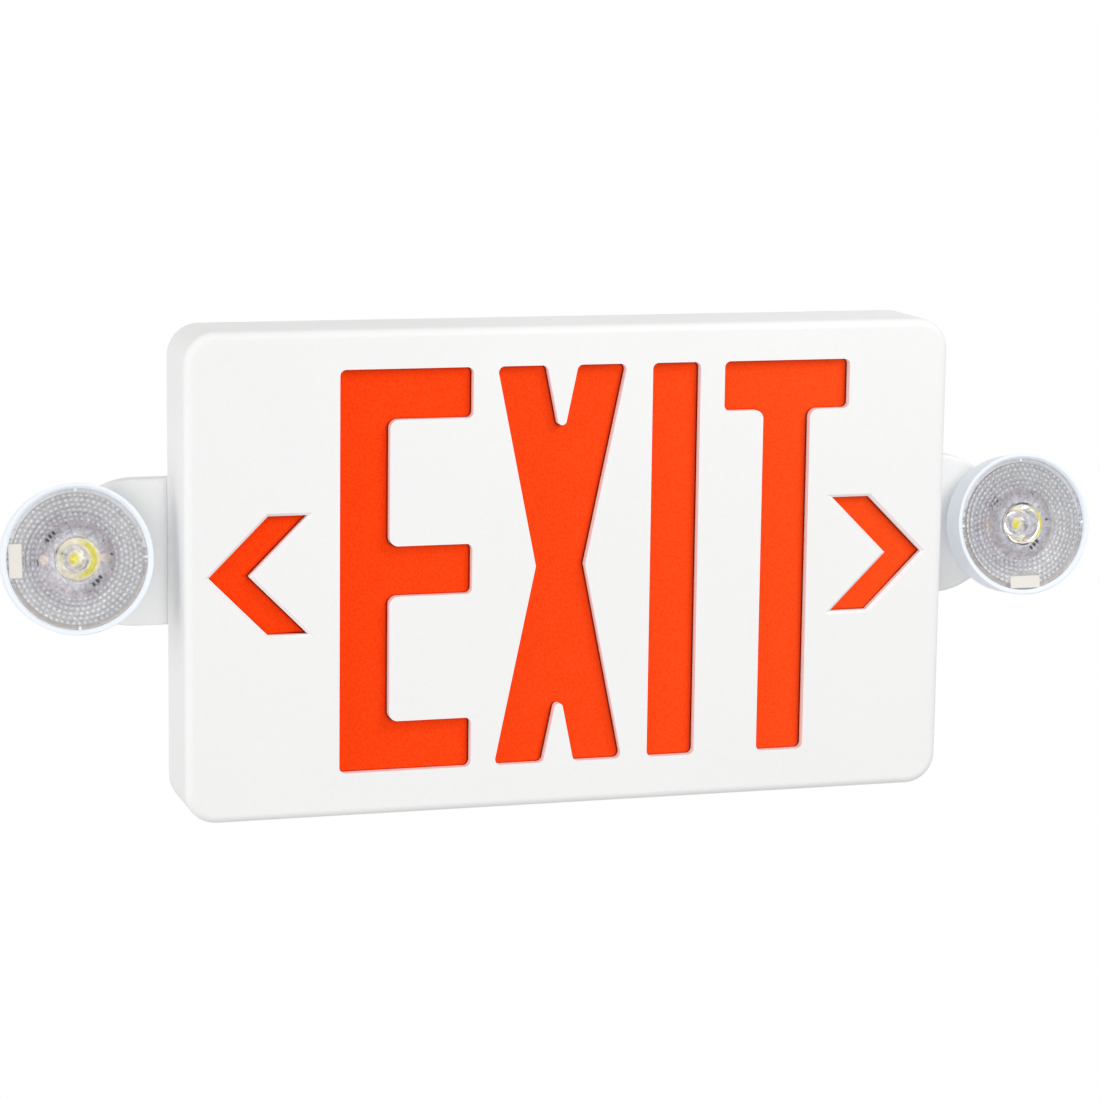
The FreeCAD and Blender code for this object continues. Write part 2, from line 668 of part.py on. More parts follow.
def swivel_fork(side):
    """A flange that turns on the arm's face, with a hollow journal behind and a fork in front."""
    flange_front = Y_PIVOT - (Y_FLANGE - FLANGE_T)
    flange_back = Y_PIVOT - Y_FLANGE
    ring_front = Y_PIVOT - Y_RING
    ring_back = ring_front - RING_T
    tip = ring_back - JOURNAL_TIP
    inner = TONGUE_T / 2 + GAP
    outer = inner + FORK_T
    flange = Part.makeCylinder(FLANGE_R, FLANGE_T, V(0, 0, flange_back))
    rim = [edge for edge in flange.Edges if abs(edge.CenterOfMass.z - flange_front) < 0.01]
    flange = flange.makeChamfer(FLANGE_T / 3, rim[:1])
    journal = Part.makeCylinder(JOURNAL_R, flange_back - tip, V(0, 0, tip))
    fork = join([flange, journal, knuckle(inner, outer, flange_front), knuckle(-outer, -inner, flange_front)])
    groove = Part.makeCylinder(JOURNAL_R, RING_T, V(0, 0, ring_back))
    groove = groove.cut(Part.makeCylinder(JOURNAL_R - RING_GROOVE, RING_T, V(0, 0, ring_back)))
    bore = Part.makeCylinder(WIRE_BORE_R, flange_front - tip, V(0, 0, tip))
    pin = Part.makeCylinder(PIN_R + SCREW_FIT, 2 * outer, V(-outer, 0, 0), V(1, 0, 0))
    return at_arm(fork.cut([groove, bore, pin]), side)


def tilt_pin(side):
    outer = TONGUE_T / 2 + GAP + FORK_T
    shank = Part.makeCylinder(PIN_R, 2 * outer + PIN_HEAD_H, V(-outer, 0, 0), V(1, 0, 0))
    heads = [Part.makeCylinder(PIN_HEAD_R, PIN_HEAD_H, V(x, 0, 0), V(1, 0, 0)) for x in (-outer - PIN_HEAD_H, outer)]
    return at_arm(join([shank] + heads), side)


def swivel_ring(side):
    """A split ring sprung into the journal's groove behind the arm."""
    ring_back = Y_PIVOT - Y_RING - RING_T
    ring = Part.makeCylinder(RING_R, RING_T, V(0, 0, ring_back))
    hole = Part.makeCylinder(JOURNAL_R - RING_GROOVE + SCREW_FIT, RING_T, V(0, 0, ring_back))
    mouth = (JOURNAL_R - RING_GROOVE) * 0.7
    gap = box(-mouth, mouth, -RING_R, 0, ring_back, ring_back + RING_T)
    return at_arm(ring.cut([hole, gap]), side)


# ---------------------------------------------------------------- lamp head
def lamp_shell(side):
    """A drum, closed behind, with a ledge for its lens and a tongue for the tilt pin."""
    slope = math.tan(math.radians(DRUM_DRAFT))
    back_r = LAMP_R - LAMP_DEPTH * slope
    bore_r = LENS_R + GAP / 2
    ledge_r = LENS_R - LENS_LEDGE
    profile = outline([
        (0.0, LAMP_BACK, 0.0), (back_r, LAMP_BACK, DRUM_EDGE_R), (LAMP_R, LAMP_FRONT, RIM_BEVEL / 2),
        (bore_r + RIM_BEVEL, LAMP_FRONT, 0.0), (bore_r, LAMP_FRONT - RIM_BEVEL, 0.0), (bore_r, LENS_BACK, 0.0),
        (ledge_r, LENS_BACK, 0.0), (back_r - DRUM_WALL, LAMP_FLOOR, DRUM_EDGE_R - DRUM_WALL),
        (0.0, LAMP_FLOOR, 0.0)])
    drum = turned(profile)
    tongue = knuckle(-TONGUE_T / 2, TONGUE_T / 2, LAMP_BACK + DRUM_WALL / 2)
    bosses = [Part.makeCylinder(LAMP_BOSS_R, LAMP_BOSS_H + DRUM_WALL / 2,
                                V(x, 0, LAMP_FLOOR - DRUM_WALL / 2)) for x in (-LAMP_BOSS_X, LAMP_BOSS_X)]
    shell = join([drum, tongue] + bosses)
    bore = Part.makeCylinder(PIN_R + RUN_FIT, TONGUE_T, V(-TONGUE_T / 2, 0, 0), V(1, 0, 0))
    wire = Part.makeCylinder(WIRE_BORE_R, DRUM_WALL, V(0, KNUCKLE_R + 2 * WIRE_BORE_R, LAMP_BACK))
    depth = M2_LENGTH - BOARD_T + GAP
    holes = [Part.makeCylinder(M2_R + SCREW_FIT, depth, V(x, 0, LAMP_BOARD - depth))
             for x in (-LAMP_BOSS_X, LAMP_BOSS_X)]
    return at_lamp(shell.cut([bore, wire] + holes), side)


def lens_profile():
    """Half the section of the lens: a flat disc with a round optic behind its middle."""
    tip = LENS_BACK - OPTIC_L
    well = tip + LED_WELL_DEPTH
    eye = LENS_FRONT - EYE_DEPTH
    flank = V((OPTIC_R + OPTIC_TIP_R) / 2 + LENS_T / 4, 0, LENS_BACK - OPTIC_L / 2)
    ball = (EYE_R ** 2 + EYE_RISE ** 2) / (2 * EYE_RISE)
    half = math.asin(EYE_R / ball) / 2
    brow = V(ball * math.sin(half), 0, eye + EYE_RISE - ball * (1 - math.cos(half)))
    edges = [
        Part.LineSegment(V(LENS_R, 0, LENS_BACK), V(LENS_R, 0, LENS_FRONT)),
        Part.LineSegment(V(LENS_R, 0, LENS_FRONT), V(EYE_R, 0, LENS_FRONT)),
        Part.LineSegment(V(EYE_R, 0, LENS_FRONT), V(EYE_R, 0, eye)),
        Part.Arc(V(EYE_R, 0, eye), brow, V(0, 0, eye + EYE_RISE)),
        Part.LineSegment(V(0, 0, eye + EYE_RISE), V(0, 0, well)),
        Part.LineSegment(V(0, 0, well), V(LED_WELL_R, 0, well)),
        Part.LineSegment(V(LED_WELL_R, 0, well), V(LED_WELL_R, 0, tip)),
        Part.LineSegment(V(LED_WELL_R, 0, tip), V(OPTIC_TIP_R, 0, tip)),
        Part.Arc(V(OPTIC_TIP_R, 0, tip), flank, V(OPTIC_R, 0, LENS_BACK)),
        Part.LineSegment(V(OPTIC_R, 0, LENS_BACK), V(LENS_R, 0, LENS_BACK))]
    return Part.Wire([edge.toShape() for edge in edges])


def lamp_lens(side):
    lens = turned(lens_profile())
    outer = LENS_R - LENS_NOTCH_D / 2
    gate = box(outer - GATE_L, outer, -GATE_W / 2, GATE_W / 2, LENS_FRONT - GATE_T, LENS_FRONT + GATE_T)
    gate = gate.common(Part.makeCylinder(outer, LAMP_FRONT))
    lens = join([lens, gate])
    notches = []
    for angle in (90, 180, 270):
        notch = box(LENS_R - LENS_NOTCH_D, LENS_R + GAP, -LENS_NOTCH_W / 2, LENS_NOTCH_W / 2, LENS_BACK, LENS_FRONT)
        notch.rotate(V(0, 0, 0), V(0, 0, 1), angle)
        notches.append(notch)
    lens = lens.cut(notches)
    lens.rotate(V(0, 0, 0), V(0, 0, 1), LENS_TURN[side_name(side)])
    return at_lamp(lens, side)


def lamp_board(side):
    board = Part.makeCylinder(LAMP_BOARD_R, BOARD_T, V(0, 0, LAMP_BOARD))
    holes = [Part.makeCylinder(M2_R + SCREW_FIT, BOARD_T, V(x, 0, LAMP_BOARD)) for x in (-LAMP_BOSS_X, LAMP_BOSS_X)]
    return at_lamp(board.cut(holes), side)


def lamp_led(side):
    """A square package with a round dome over its die."""
    top = LAMP_BOARD + BOARD_T
    half = LED_W / 2
    base = box(-half, half, -half, half, top, top + LED_BASE_T)
    dome = Part.makeSphere(LED_DOME_R, V(0, 0, top + LED_BASE_T))
    dome = dome.common(box(-half, half, -half, half, top, top + LED_W))
    return at_lamp(join([base, dome]), side)


def lamp_screws(side):
    screws = []
    top = LAMP_BOARD + BOARD_T
    for x in (-LAMP_BOSS_X, LAMP_BOSS_X):
        head = Part.makeCylinder(M2_HEAD_R, M2_HEAD_H, V(x, 0, top))
        shank = Part.makeCylinder(M2_R, M2_LENGTH, V(x, 0, top - M2_LENGTH))
        screws.append(head.fuse(shank))
    return at_lamp(group(screws), side)


def side_name(side):
    return "left" if side < 0 else "right"


# ---------------------------------------------------------------- legend lighting
def strip_board(sign):
    z = sign * STRIP_Z
    board = box(-STRIP_L / 2, STRIP_L / 2, Y_STRIP - BOARD_T, Y_STRIP, z - STRIP_W / 2, z + STRIP_W / 2)
    ends = [(x, zz) for x, zz in strip_screws() if zz * sign > 0]
    return board.cut([post(M3_R + SCREW_FIT, x, zz, Y_STRIP - BOARD_T, Y_STRIP) for x, zz in ends])


def legend_leds():
    top = Y_STRIP - BOARD_T
    half = LEGEND_LED_W / 2
    leds = []
    for sign in (-1, 1):
        for i in range(LEGEND_LED_COUNT):
            x = (i - (LEGEND_LED_COUNT - 1) / 2) * LEGEND_LED_PITCH
            z = sign * STRIP_Z
            leds.append(box(x - half, x + half, top - LEGEND_LED_H, top, z - half, z + half))
    return group(leds)


def legend_screws():
    return group([screw(x, z, Y_STRIP - BOARD_T) for x, z in strip_screws()])


# ---------------------------------------------------------------- control electronics
def control_board():
    half_w = CONTROL_W / 2
    half_h = CONTROL_H / 2
    board = box(CONTROL_X - half_w, CONTROL_X + half_w, Y_CONTROL_TOP, Y_CONTROL,
                CONTROL_Z - half_h, CONTROL_Z + half_h)
    return board.cut([post(M3_R + SCREW_FIT, x, z, Y_CONTROL_TOP, Y_CONTROL) for x, z in control_screws()])


def control_board_screws():
    return group([screw(x, z, Y_CONTROL_TOP) for x, z in control_screws()])


def transformer_place():
    """The middle of the transformer and the plane of its core's underside."""
    x = CONTROL_X + CONTROL_W / 2 - CORE_W / 2 - 3 * M3_R
    z = CONTROL_Z + CONTROL_H / 2 - CORE_H / 2 - 4 * M3_HEAD_R
    return x, z, Y_CONTROL_TOP - COIL_T


def core_windows(margin):
    """The two windows beside the core's middle leg, made smaller all round by margin."""
    x, z, y = transformer_place()
    window = CORE_LEG / 2
    windows = []
    for sign in (-1, 1):
        near = x + sign * (CORE_LEG / 2 + margin)
        far = x + sign * (CORE_LEG / 2 + window - margin)
        tall = CORE_H / 2 - window - margin
        windows.append(box(near, far, y - CORE_T, y, z - tall, z + tall))
    return windows


def transformer_core():
    x, z, y = transformer_place()
    core = box(x - CORE_W / 2, x + CORE_W / 2, y - CORE_T, y, z - CORE_H / 2, z + CORE_H / 2)
    return core.cut(core_windows(0.0))


def transformer_coil():
    """A winding round the middle leg that stands out in front of the core and behind it."""
    x, z, y = transformer_place()
    leg = CORE_LEG / 2
    out = 2 * leg - GAP
    tall = CORE_H / 2 - leg - GAP
    winding = box(x - out, x + out, y - CORE_T - COIL_T, y + COIL_T, z - tall, z + tall)
    hole = box(x - leg - GAP, x + leg + GAP, y - CORE_T - GAP, y + GAP, z - tall, z + tall)
    return winding.cut(hole)


def relay():
    w, h, d = RELAY_SIZE
    x = CONTROL_X - CONTROL_W / 2 + w / 2 + 3 * M3_HEAD_R
    z = CONTROL_Z + CONTROL_H / 2 - h / 2 - M3_HEAD_R
    return box(x - w / 2, x + w / 2, Y_CONTROL_TOP - d, Y_CONTROL_TOP, z - h / 2, z + h / 2)


def capacitors():
    cans = []
    for i in range(2):
        x = CONTROL_X - CONTROL_W / 4 + (i - 0.5) * CAP_PITCH
        can = post(CAP_R, x, CONTROL_Z - CAP_R, Y_CONTROL_TOP - CAP_H, Y_CONTROL_TOP)
        top = [edge for edge in can.Edges if abs(edge.CenterOfMass.y - Y_CONTROL_TOP + CAP_H) < 0.01]
        cans.append(can.makeChamfer(CAP_R / 6, top[:1]))
    return group(cans)


def terminal_block():
    w, h, d = TERMINAL_SIZE
    x = CONTROL_X - CONTROL_W / 2 + w / 2 + 3 * M3_HEAD_R
    z = CONTROL_Z - CONTROL_H / 2 + h / 2 + M3_HEAD_R
    block = box(x - w / 2, x + w / 2, Y_CONTROL_TOP - d, Y_CONTROL_TOP, z - h / 2, z + h / 2)
    pitch = w / TERMINAL_WAYS
    wells = [post(TERMINAL_SCREW_R, x + (i - (TERMINAL_WAYS - 1) / 2) * pitch, z,
                  Y_CONTROL_TOP - d, Y_CONTROL_TOP - d / 2) for i in range(TERMINAL_WAYS)]
    return block.cut(wells)


# ---------------------------------------------------------------- battery
def battery_pack():
    """Round cells side by side in one shrink sleeve."""
    low = PACK_Z - CELL_L / 2
    high = PACK_Z + CELL_L / 2
    places = [PACK_X + (i - (CELL_COUNT - 1) / 2) * 2 * CELL_R for i in range(CELL_COUNT)]
    cells = [stud(CELL_R, x, Y_CELLS, low, high) for x in places]
    sleeve = box(places[0], places[-1], Y_CELLS - WRAP_T / 2, Y_CELLS + WRAP_T / 2, low, high)
    return join(cells + [sleeve])


def battery_strap():
    """A band over the cells with a foot at each side."""
    half = CELL_COUNT * CELL_R + GAP
    top = Y_CELLS - CELL_R - GAP
    low = PACK_Z - STRAP_W / 2
    high = PACK_Z + STRAP_W / 2
    band = box(PACK_X - half - STRAP_T, PACK_X + half + STRAP_T, top - STRAP_T, Y_BACK, low, high)
    corners = [edge for edge in band.Edges
               if abs(edge.CenterOfMass.y - top + STRAP_T) < 0.01 and abs(edge.CenterOfMass.z - PACK_Z) < 0.01]
    band = band.makeFillet(CELL_R / 2, corners)
    inside = box(PACK_X - half, PACK_X + half, top, Y_BACK, low, high)
    corners = [edge for edge in inside.Edges
               if abs(edge.CenterOfMass.y - top) < 0.01 and abs(edge.CenterOfMass.z - PACK_Z) < 0.01]
    band = band.cut(inside.makeFillet(CELL_R / 2 - STRAP_T, corners))
    feet = []
    for sign in (-1, 1):
        start = PACK_X + sign * half
        end = start + sign * (STRAP_T + STRAP_FOOT)
        feet.append(box(start, end, Y_BACK - STRAP_T, Y_BACK, low, high))
    strap = join([band] + feet)
    return strap.cut([post(M3_R + SCREW_FIT, x, z, Y_BACK - STRAP_T, Y_BACK) for x, z in strap_screws()])


def battery_strap_screws():
    return group([screw(x, z, Y_BACK - STRAP_T, M3_LENGTH / 2) for x, z in strap_screws()])


# ---------------------------------------------------------------- test button and pilot light
def switch_board():
    half = SWITCH_BOARD_W / 2
    front = TEST_Y - SWITCH_BOARD_D / 2
    back = TEST_Y + SWITCH_BOARD_D / 2
    return box(SWITCH_BOARD_X - half, SWITCH_BOARD_X + half, front, back,
               Z_SWITCH_BOARD, Z_SWITCH_BOARD + BOARD_T)


def test_switch():
    w, d, h = SWITCH_SIZE
    body = box(TEST_X - w / 2, TEST_X + w / 2, TEST_Y - d / 2, TEST_Y + d / 2, Z_SWITCH, Z_SWITCH_BOARD)
    depth = STEM_IN + BUTTON_TRAVEL + 2 * GAP
    return body.cut(stud(STEM_R + GAP, TEST_X, TEST_Y, Z_SWITCH, Z_SWITCH + depth))


def test_button():
    """A cap with a flange inside the wall and a stem into the switch."""
    low = -COVER_H / 2 - BUTTON_PROUD
    cap = stud(BUTTON_R, TEST_X, TEST_Y, low, Z_SPRING)
    face = [edge for edge in cap.Edges if abs(edge.CenterOfMass.z - low) < 0.01]
    cap = cap.makeFillet(BUTTON_R / 8, face[:1])
    flange = stud(BUTTON_FLANGE_R, TEST_X, TEST_Y, Z_FLANGE, Z_SPRING)
    stem = stud(STEM_R, TEST_X, TEST_Y, Z_FLANGE, Z_SWITCH + STEM_IN)
    return join([cap, flange, stem])


def test_spring():
    """A coil between the button's flange and the switch."""
    ends = SPRING_WIRE_R + SCREW_FIT
    length = SPRING_L - 2 * ends
    helix = Part.makeHelix(length / SPRING_TURNS, length, SPRING_R)
    corners = [V(SPRING_R + SPRING_WIRE_R * math.cos(math.radians(angle)), 0,
                 SPRING_WIRE_R * math.sin(math.radians(angle))) for angle in range(0, 361, 45)]
    coil = Part.Wire(helix).makePipeShell([Part.makePolygon(corners)], True, True)
    coil.translate(V(TEST_X, TEST_Y, Z_SPRING + ends))
    return coil


def pilot_lens():
    cone = stud(PILOT_R, PILOT_X, TEST_Y, -HOUSING_H / 2 - PILOT_PROUD, Z_FLOOR)
    flange = stud(PILOT_FLANGE_R, PILOT_X, TEST_Y, Z_FLOOR, Z_FLOOR + PILOT_FLANGE_T)
    return join([cone, flange])


def pilot_led():
    """A round lamp on a spacer below the switch board."""
    tip = Z_SWITCH_BOARD - PILOT_LED_L
    spacer = stud(PILOT_COLLAR_R, PILOT_X, TEST_Y, tip + PILOT_LED_L / 2, Z_SWITCH_BOARD)
    bulb = stud(PILOT_R, PILOT_X, TEST_Y, tip + PILOT_R, Z_SWITCH_BOARD)
    dome = Part.makeSphere(PILOT_R, V(PILOT_X, TEST_Y, tip + PILOT_R))
    return join([spacer, bulb, dome])


# ---------------------------------------------------------------- the whole light
def nodes():
    """Every sub-part by its name."""
    made = {
        "front_cover": front_cover(),
        "diffuser_panel": diffuser_panel(),
        "housing": housing(),
        "legend_board_upper": strip_board(1),
        "legend_board_lower": strip_board(-1),
        "legend_leds": legend_leds(),
        "legend_board_screws": legend_screws(),
        "control_board": control_board(),
        "control_board_screws": control_board_screws(),
        "transformer_core": transformer_core(),
        "transformer_coil": transformer_coil(),
        "relay": relay(),
        "capacitors": capacitors(),
        "terminal_block": terminal_block(),
        "battery_pack": battery_pack(),
        "battery_strap": battery_strap(),
        "battery_strap_screws": battery_strap_screws(),
        "switch_board": switch_board(),
        "test_switch": test_switch(),
        "test_button": test_button(),
        "test_spring": test_spring(),
        "pilot_lens": pilot_lens(),
        "pilot_led": pilot_led()}
    for name, side in SIDES.items():
        made["lamp_arm_" + name] = lamp_arm(side)
        made["arm_screws_" + name] = arm_screws(side)
        made["swivel_fork_" + name] = swivel_fork(side)
        made["tilt_pin_" + name] = tilt_pin(side)
        made["swivel_ring_" + name] = swivel_ring(side)
        made["lamp_shell_" + name] = lamp_shell(side)
        made["lamp_lens_" + name] = lamp_lens(side)
        made["lamp_board_" + name] = lamp_board(side)
        made["lamp_led_" + name] = lamp_led(side)
        made["lamp_board_screws_" + name] = lamp_screws(side)
    return made


def main():
    os.makedirs("parts", exist_ok=True)
    for name, shape in nodes().items():
        shape.exportStep("parts/" + name + ".step")
        print(name, "solids", len(shape.Solids), "valid", shape.isValid(), "volume", round(shape.Volume, 1))


main()
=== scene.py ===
"""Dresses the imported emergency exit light: finishes, lenses, lamp boards, studio and camera."""
import json
import logging
import math
from dataclasses import dataclass
from enum import Enum
from typing import Callable, Iterable, Sequence, Union

import bmesh
import bpy
from mathutils import Matrix, Vector


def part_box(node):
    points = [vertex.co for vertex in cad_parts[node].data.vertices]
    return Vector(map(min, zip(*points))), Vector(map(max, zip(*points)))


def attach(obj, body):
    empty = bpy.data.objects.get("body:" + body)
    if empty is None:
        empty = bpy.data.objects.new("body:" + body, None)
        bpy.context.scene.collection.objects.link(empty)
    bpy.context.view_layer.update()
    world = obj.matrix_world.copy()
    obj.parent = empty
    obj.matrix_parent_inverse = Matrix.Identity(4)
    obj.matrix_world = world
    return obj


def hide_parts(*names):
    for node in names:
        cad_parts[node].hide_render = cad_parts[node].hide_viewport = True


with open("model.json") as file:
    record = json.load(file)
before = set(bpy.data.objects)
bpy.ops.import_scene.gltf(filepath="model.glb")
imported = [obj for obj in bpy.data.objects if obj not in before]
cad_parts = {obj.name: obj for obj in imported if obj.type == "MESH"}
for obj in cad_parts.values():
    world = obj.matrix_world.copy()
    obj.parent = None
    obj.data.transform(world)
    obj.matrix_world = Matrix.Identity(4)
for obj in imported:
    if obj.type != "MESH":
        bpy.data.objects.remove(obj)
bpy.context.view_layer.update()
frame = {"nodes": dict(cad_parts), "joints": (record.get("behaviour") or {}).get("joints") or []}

MM = 0.001
QUARTER_TURN = math.pi / 2
FULL_TURN = 2 * math.pi
SMOOTH_LIMIT = math.radians(32)     # edges flatter than this are shaded smooth
SHARP_LIMIT = math.radians(35)      # edges sharper than this can be rounded
FLAT_LIMIT = math.radians(0.5)      # faces flatter than this are one face
SAME_POINT = 2e-7                   # points of a CAD mesh nearer than this are one point
NEAR_PLANE = 0.05 * MM              # points nearer than this to a plane lie on it

log = logging.getLogger("exit_light")

Colour = tuple[float, float, float]
Point = tuple[float, float]
Value = Union[bpy.types.NodeSocket, float, Colour]


class Side(Enum):
    """The two ends of the sign, with the sign of their X."""

    LEFT = -1
    RIGHT = 1

    @property
    def label(self) -> str:
        """The side's name as the nodes spell it."""
        return self.name.lower()


class Slot(Enum):
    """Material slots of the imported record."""

    COVER = "cover_plastic"
    HOUSING = "housing_plastic"
    PANEL = "red_diffuser"
    LAMP = "lamp_plastic"
    LENS = "clear_lens"
    LED = "yellow_led"
    BOARD = "circuit_board"


# ---------------------------------------------------------------- node helpers
class NodeTree:
    """A thin wrapper that adds and links shader nodes in one tree."""

    def __init__(self, tree: bpy.types.NodeTree) -> None:
        """Keeps the node tree of a material, a group or the world."""
        self.tree = tree

    def add(self, kind: str, **settings: object) -> bpy.types.Node:
        """Adds a node and sets its properties.

        Args:
            kind: The node's type name without its ShaderNode prefix.
            **settings: Properties of the node and their values.

        Returns:
            The new node.
        """
        node = self.tree.nodes.new(kind if kind.startswith("NodeGroup") else "ShaderNode" + kind)
        for key, value in settings.items():
            setattr(node, key, value)
        return node

    def feed(self, inputs: bpy.types.NodeInputs, values: dict[Union[int, str], Value]) -> None:
        """Links or sets inputs of a node.

        Args:
            inputs: The node's inputs.
            values: What goes in each of them: a socket, a number or a colour.
        """
        for key, value in values.items():
            if isinstance(value, bpy.types.NodeSocket):
                self.tree.links.new(value, inputs[key])
            elif isinstance(value, tuple):
                inputs[key].default_value = (*value, 1.0)
            else:
                inputs[key].default_value = value

    def math(self, operation: str, *values: Value) -> bpy.types.NodeSocket:
        """Adds a Math node.

        Args:
            operation: The Math node's operation.
            *values: Its inputs in order, as sockets or numbers.

        Returns:
            The node's output.
        """
        node = self.add("Math", operation=operation)
        self.feed(node.inputs, dict(enumerate(values)))
        return node.outputs[0]

    def mix(self, factor: Value, low: Value, high: Value) -> bpy.types.NodeSocket:
        """Mixes two colours.

        Args:
            factor: A socket or a number from 0 to 1.
            low: The colour at 0.
            high: The colour at 1.

        Returns:
            The mixed colour.
        """
        node = self.add("Mix", data_type="RGBA")
        self.feed(node.inputs, {0: factor, 6: low, 7: high})
        return node.outputs[2]

    def ramp(self, value: bpy.types.NodeSocket, low: float, high: float) -> bpy.types.NodeSocket:
        """Stretches a value so that low goes to 0 and high to 1, clamped.

        Args:
            value: The socket to stretch.
            low: The value that gives 0.
            high: The value that gives 1.

        Returns:
            The stretched value.
        """
        node = self.add("MapRange", clamp=True)
        self.feed(node.inputs, {"Value": value, "From Min": low, "From Max": high})
        return node.outputs[0]

    def noise(self, place: bpy.types.NodeSocket, scale: Value, detail: float = 2.0) -> bpy.types.NodeSocket:
        """Adds fractal noise.

        Args:
            place: The coordinates, in metres.
            scale: Its cells in a metre.
            detail: How many finer layers it has.

        Returns:
            The noise, about 0.5.
        """
        node = self.add("TexNoise")
        self.feed(node.inputs, {"Vector": place, "Scale": scale, "Detail": detail})
        return node.outputs["Fac"]

    def bump(self, height: bpy.types.NodeSocket, strength: float, distance: float) -> bpy.types.NodeSocket:
        """Turns a height into a normal.

        Args:
            height: The height.
            strength: How much of it shows, from 0 to 1.
            distance: The height in metres at a value of 1.

        Returns:
            The normal.
        """
        node = self.add("Bump")
        self.feed(node.inputs, {"Height": height, "Strength": strength, "Distance": distance})
        return node.outputs["Normal"]

    def place(self) -> bpy.types.NodeSocket:
        """The point in the object's own coordinates."""
        return self.add("TexCoord").outputs["Object"]

    def attribute(self, layer: str) -> bpy.types.NodeSocket:
        """A number that the mesh carries at its points."""
        return self.add("Attribute", attribute_name=layer).outputs["Fac"]

    def seen(self) -> bpy.types.NodeSocket:
        """Tells rays that make the picture from those that light the object.

        Returns:
            1 for rays from the camera, from gloss and through glass, and 0 for the rest.
        """
        path = self.add("LightPath")
        direct = self.math("MAXIMUM", path.outputs["Is Camera Ray"], path.outputs["Is Glossy Ray"])
        return self.math("MAXIMUM", direct, path.outputs["Is Transmission Ray"])

    def blend(self, factor: Value, shader: bpy.types.Node, other: bpy.types.Node) -> None:
        """Mixes two shaders into the material's output.

        Args:
            factor: The share of the other shader.
            shader: The material's shader.
            other: The other shader.
        """
        node = self.add("MixShader")
        self.feed(node.inputs, {0: factor, 1: shader.outputs[0], 2: other.outputs[0]})
        self.feed(self.tree.nodes["Material Output"].inputs, {"Surface": node.outputs[0]})


def shaded(colour: Colour, share: float) -> Colour:
    """A colour with each channel at a share of its value."""
    return tuple(channel * share for channel in colour)


def grain_group() -> bpy.types.NodeTree:
    """Builds the shared grain of moulded plastic once.

    Returns:
        A group that takes Vector, Size and Fleck and puts out Height, Tone and Speck.
    """
    known = bpy.data.node_groups.get("moulded grain")
    if known:
        return known
    group = bpy.data.node_groups.new("moulded grain", "ShaderNodeTree")
    for name, kind in (("Vector", "NodeSocketVector"), ("Size", "NodeSocketFloat"), ("Fleck", "NodeSocketFloat")):
        group.interface.new_socket(name, in_out="INPUT", socket_type=kind)
    for name in ("Height", "Tone", "Speck"):
        group.interface.new_socket(name, in_out="OUTPUT", socket_type="NodeSocketFloat")
    nodes = NodeTree(group)
    place, size, fleck, _ = nodes.add("NodeGroupInput").outputs
    density = nodes.math("DIVIDE", 1.0, size)
    cells = nodes.add("TexVoronoi", feature="SMOOTH_F1")
    nodes.feed(cells.inputs, {"Vector": place, "Scale": density, "Smoothness": 0.6})
    pits = nodes.math("MULTIPLY", cells.outputs["Distance"], 0.5)
    broad = nodes.noise(place, 14.0)
    speck = nodes.noise(place, nodes.math("DIVIDE", 1.0, fleck), 1.0)
    nodes.feed(nodes.add("NodeGroupOutput").inputs, {
        "Height": nodes.math("ADD", nodes.noise(place, density, 3.0), pits),
        "Tone": nodes.ramp(broad, 0.3, 0.7),
        "Speck": nodes.ramp(speck, 0.42, 0.68),
    })
    return group


# ---------------------------------------------------------------- finishes
@dataclass(frozen=True)
class Finish:
    """What every finish has: a name, a colour, a roughness and a gloss."""

    name: str
    colour: Colour
    roughness: float = 0.5
    specular: float = 0.5

    def start(self) -> tuple[bpy.types.Material, NodeTree, bpy.types.Node]:
        """Makes a material with one Principled shader.

        Returns:
            The material, its nodes and the shader.
        """
        material = bpy.data.materials.new(self.name)
        material.use_nodes = True
        nodes = NodeTree(material.node_tree)
        shader = material.node_tree.nodes["Principled BSDF"]
        nodes.feed(shader.inputs, {"Base Color": self.colour, "Roughness": self.roughness,
                                   "Specular IOR Level": self.specular})
        return material, nodes, shader

    def material(self) -> bpy.types.Material:
        """Gives the finish's material, made once."""
        return bpy.data.materials.get(self.name) or self.build()

    def build(self) -> bpy.types.Material:
        """Makes the material. Each kind of finish has its own."""
        raise NotImplementedError


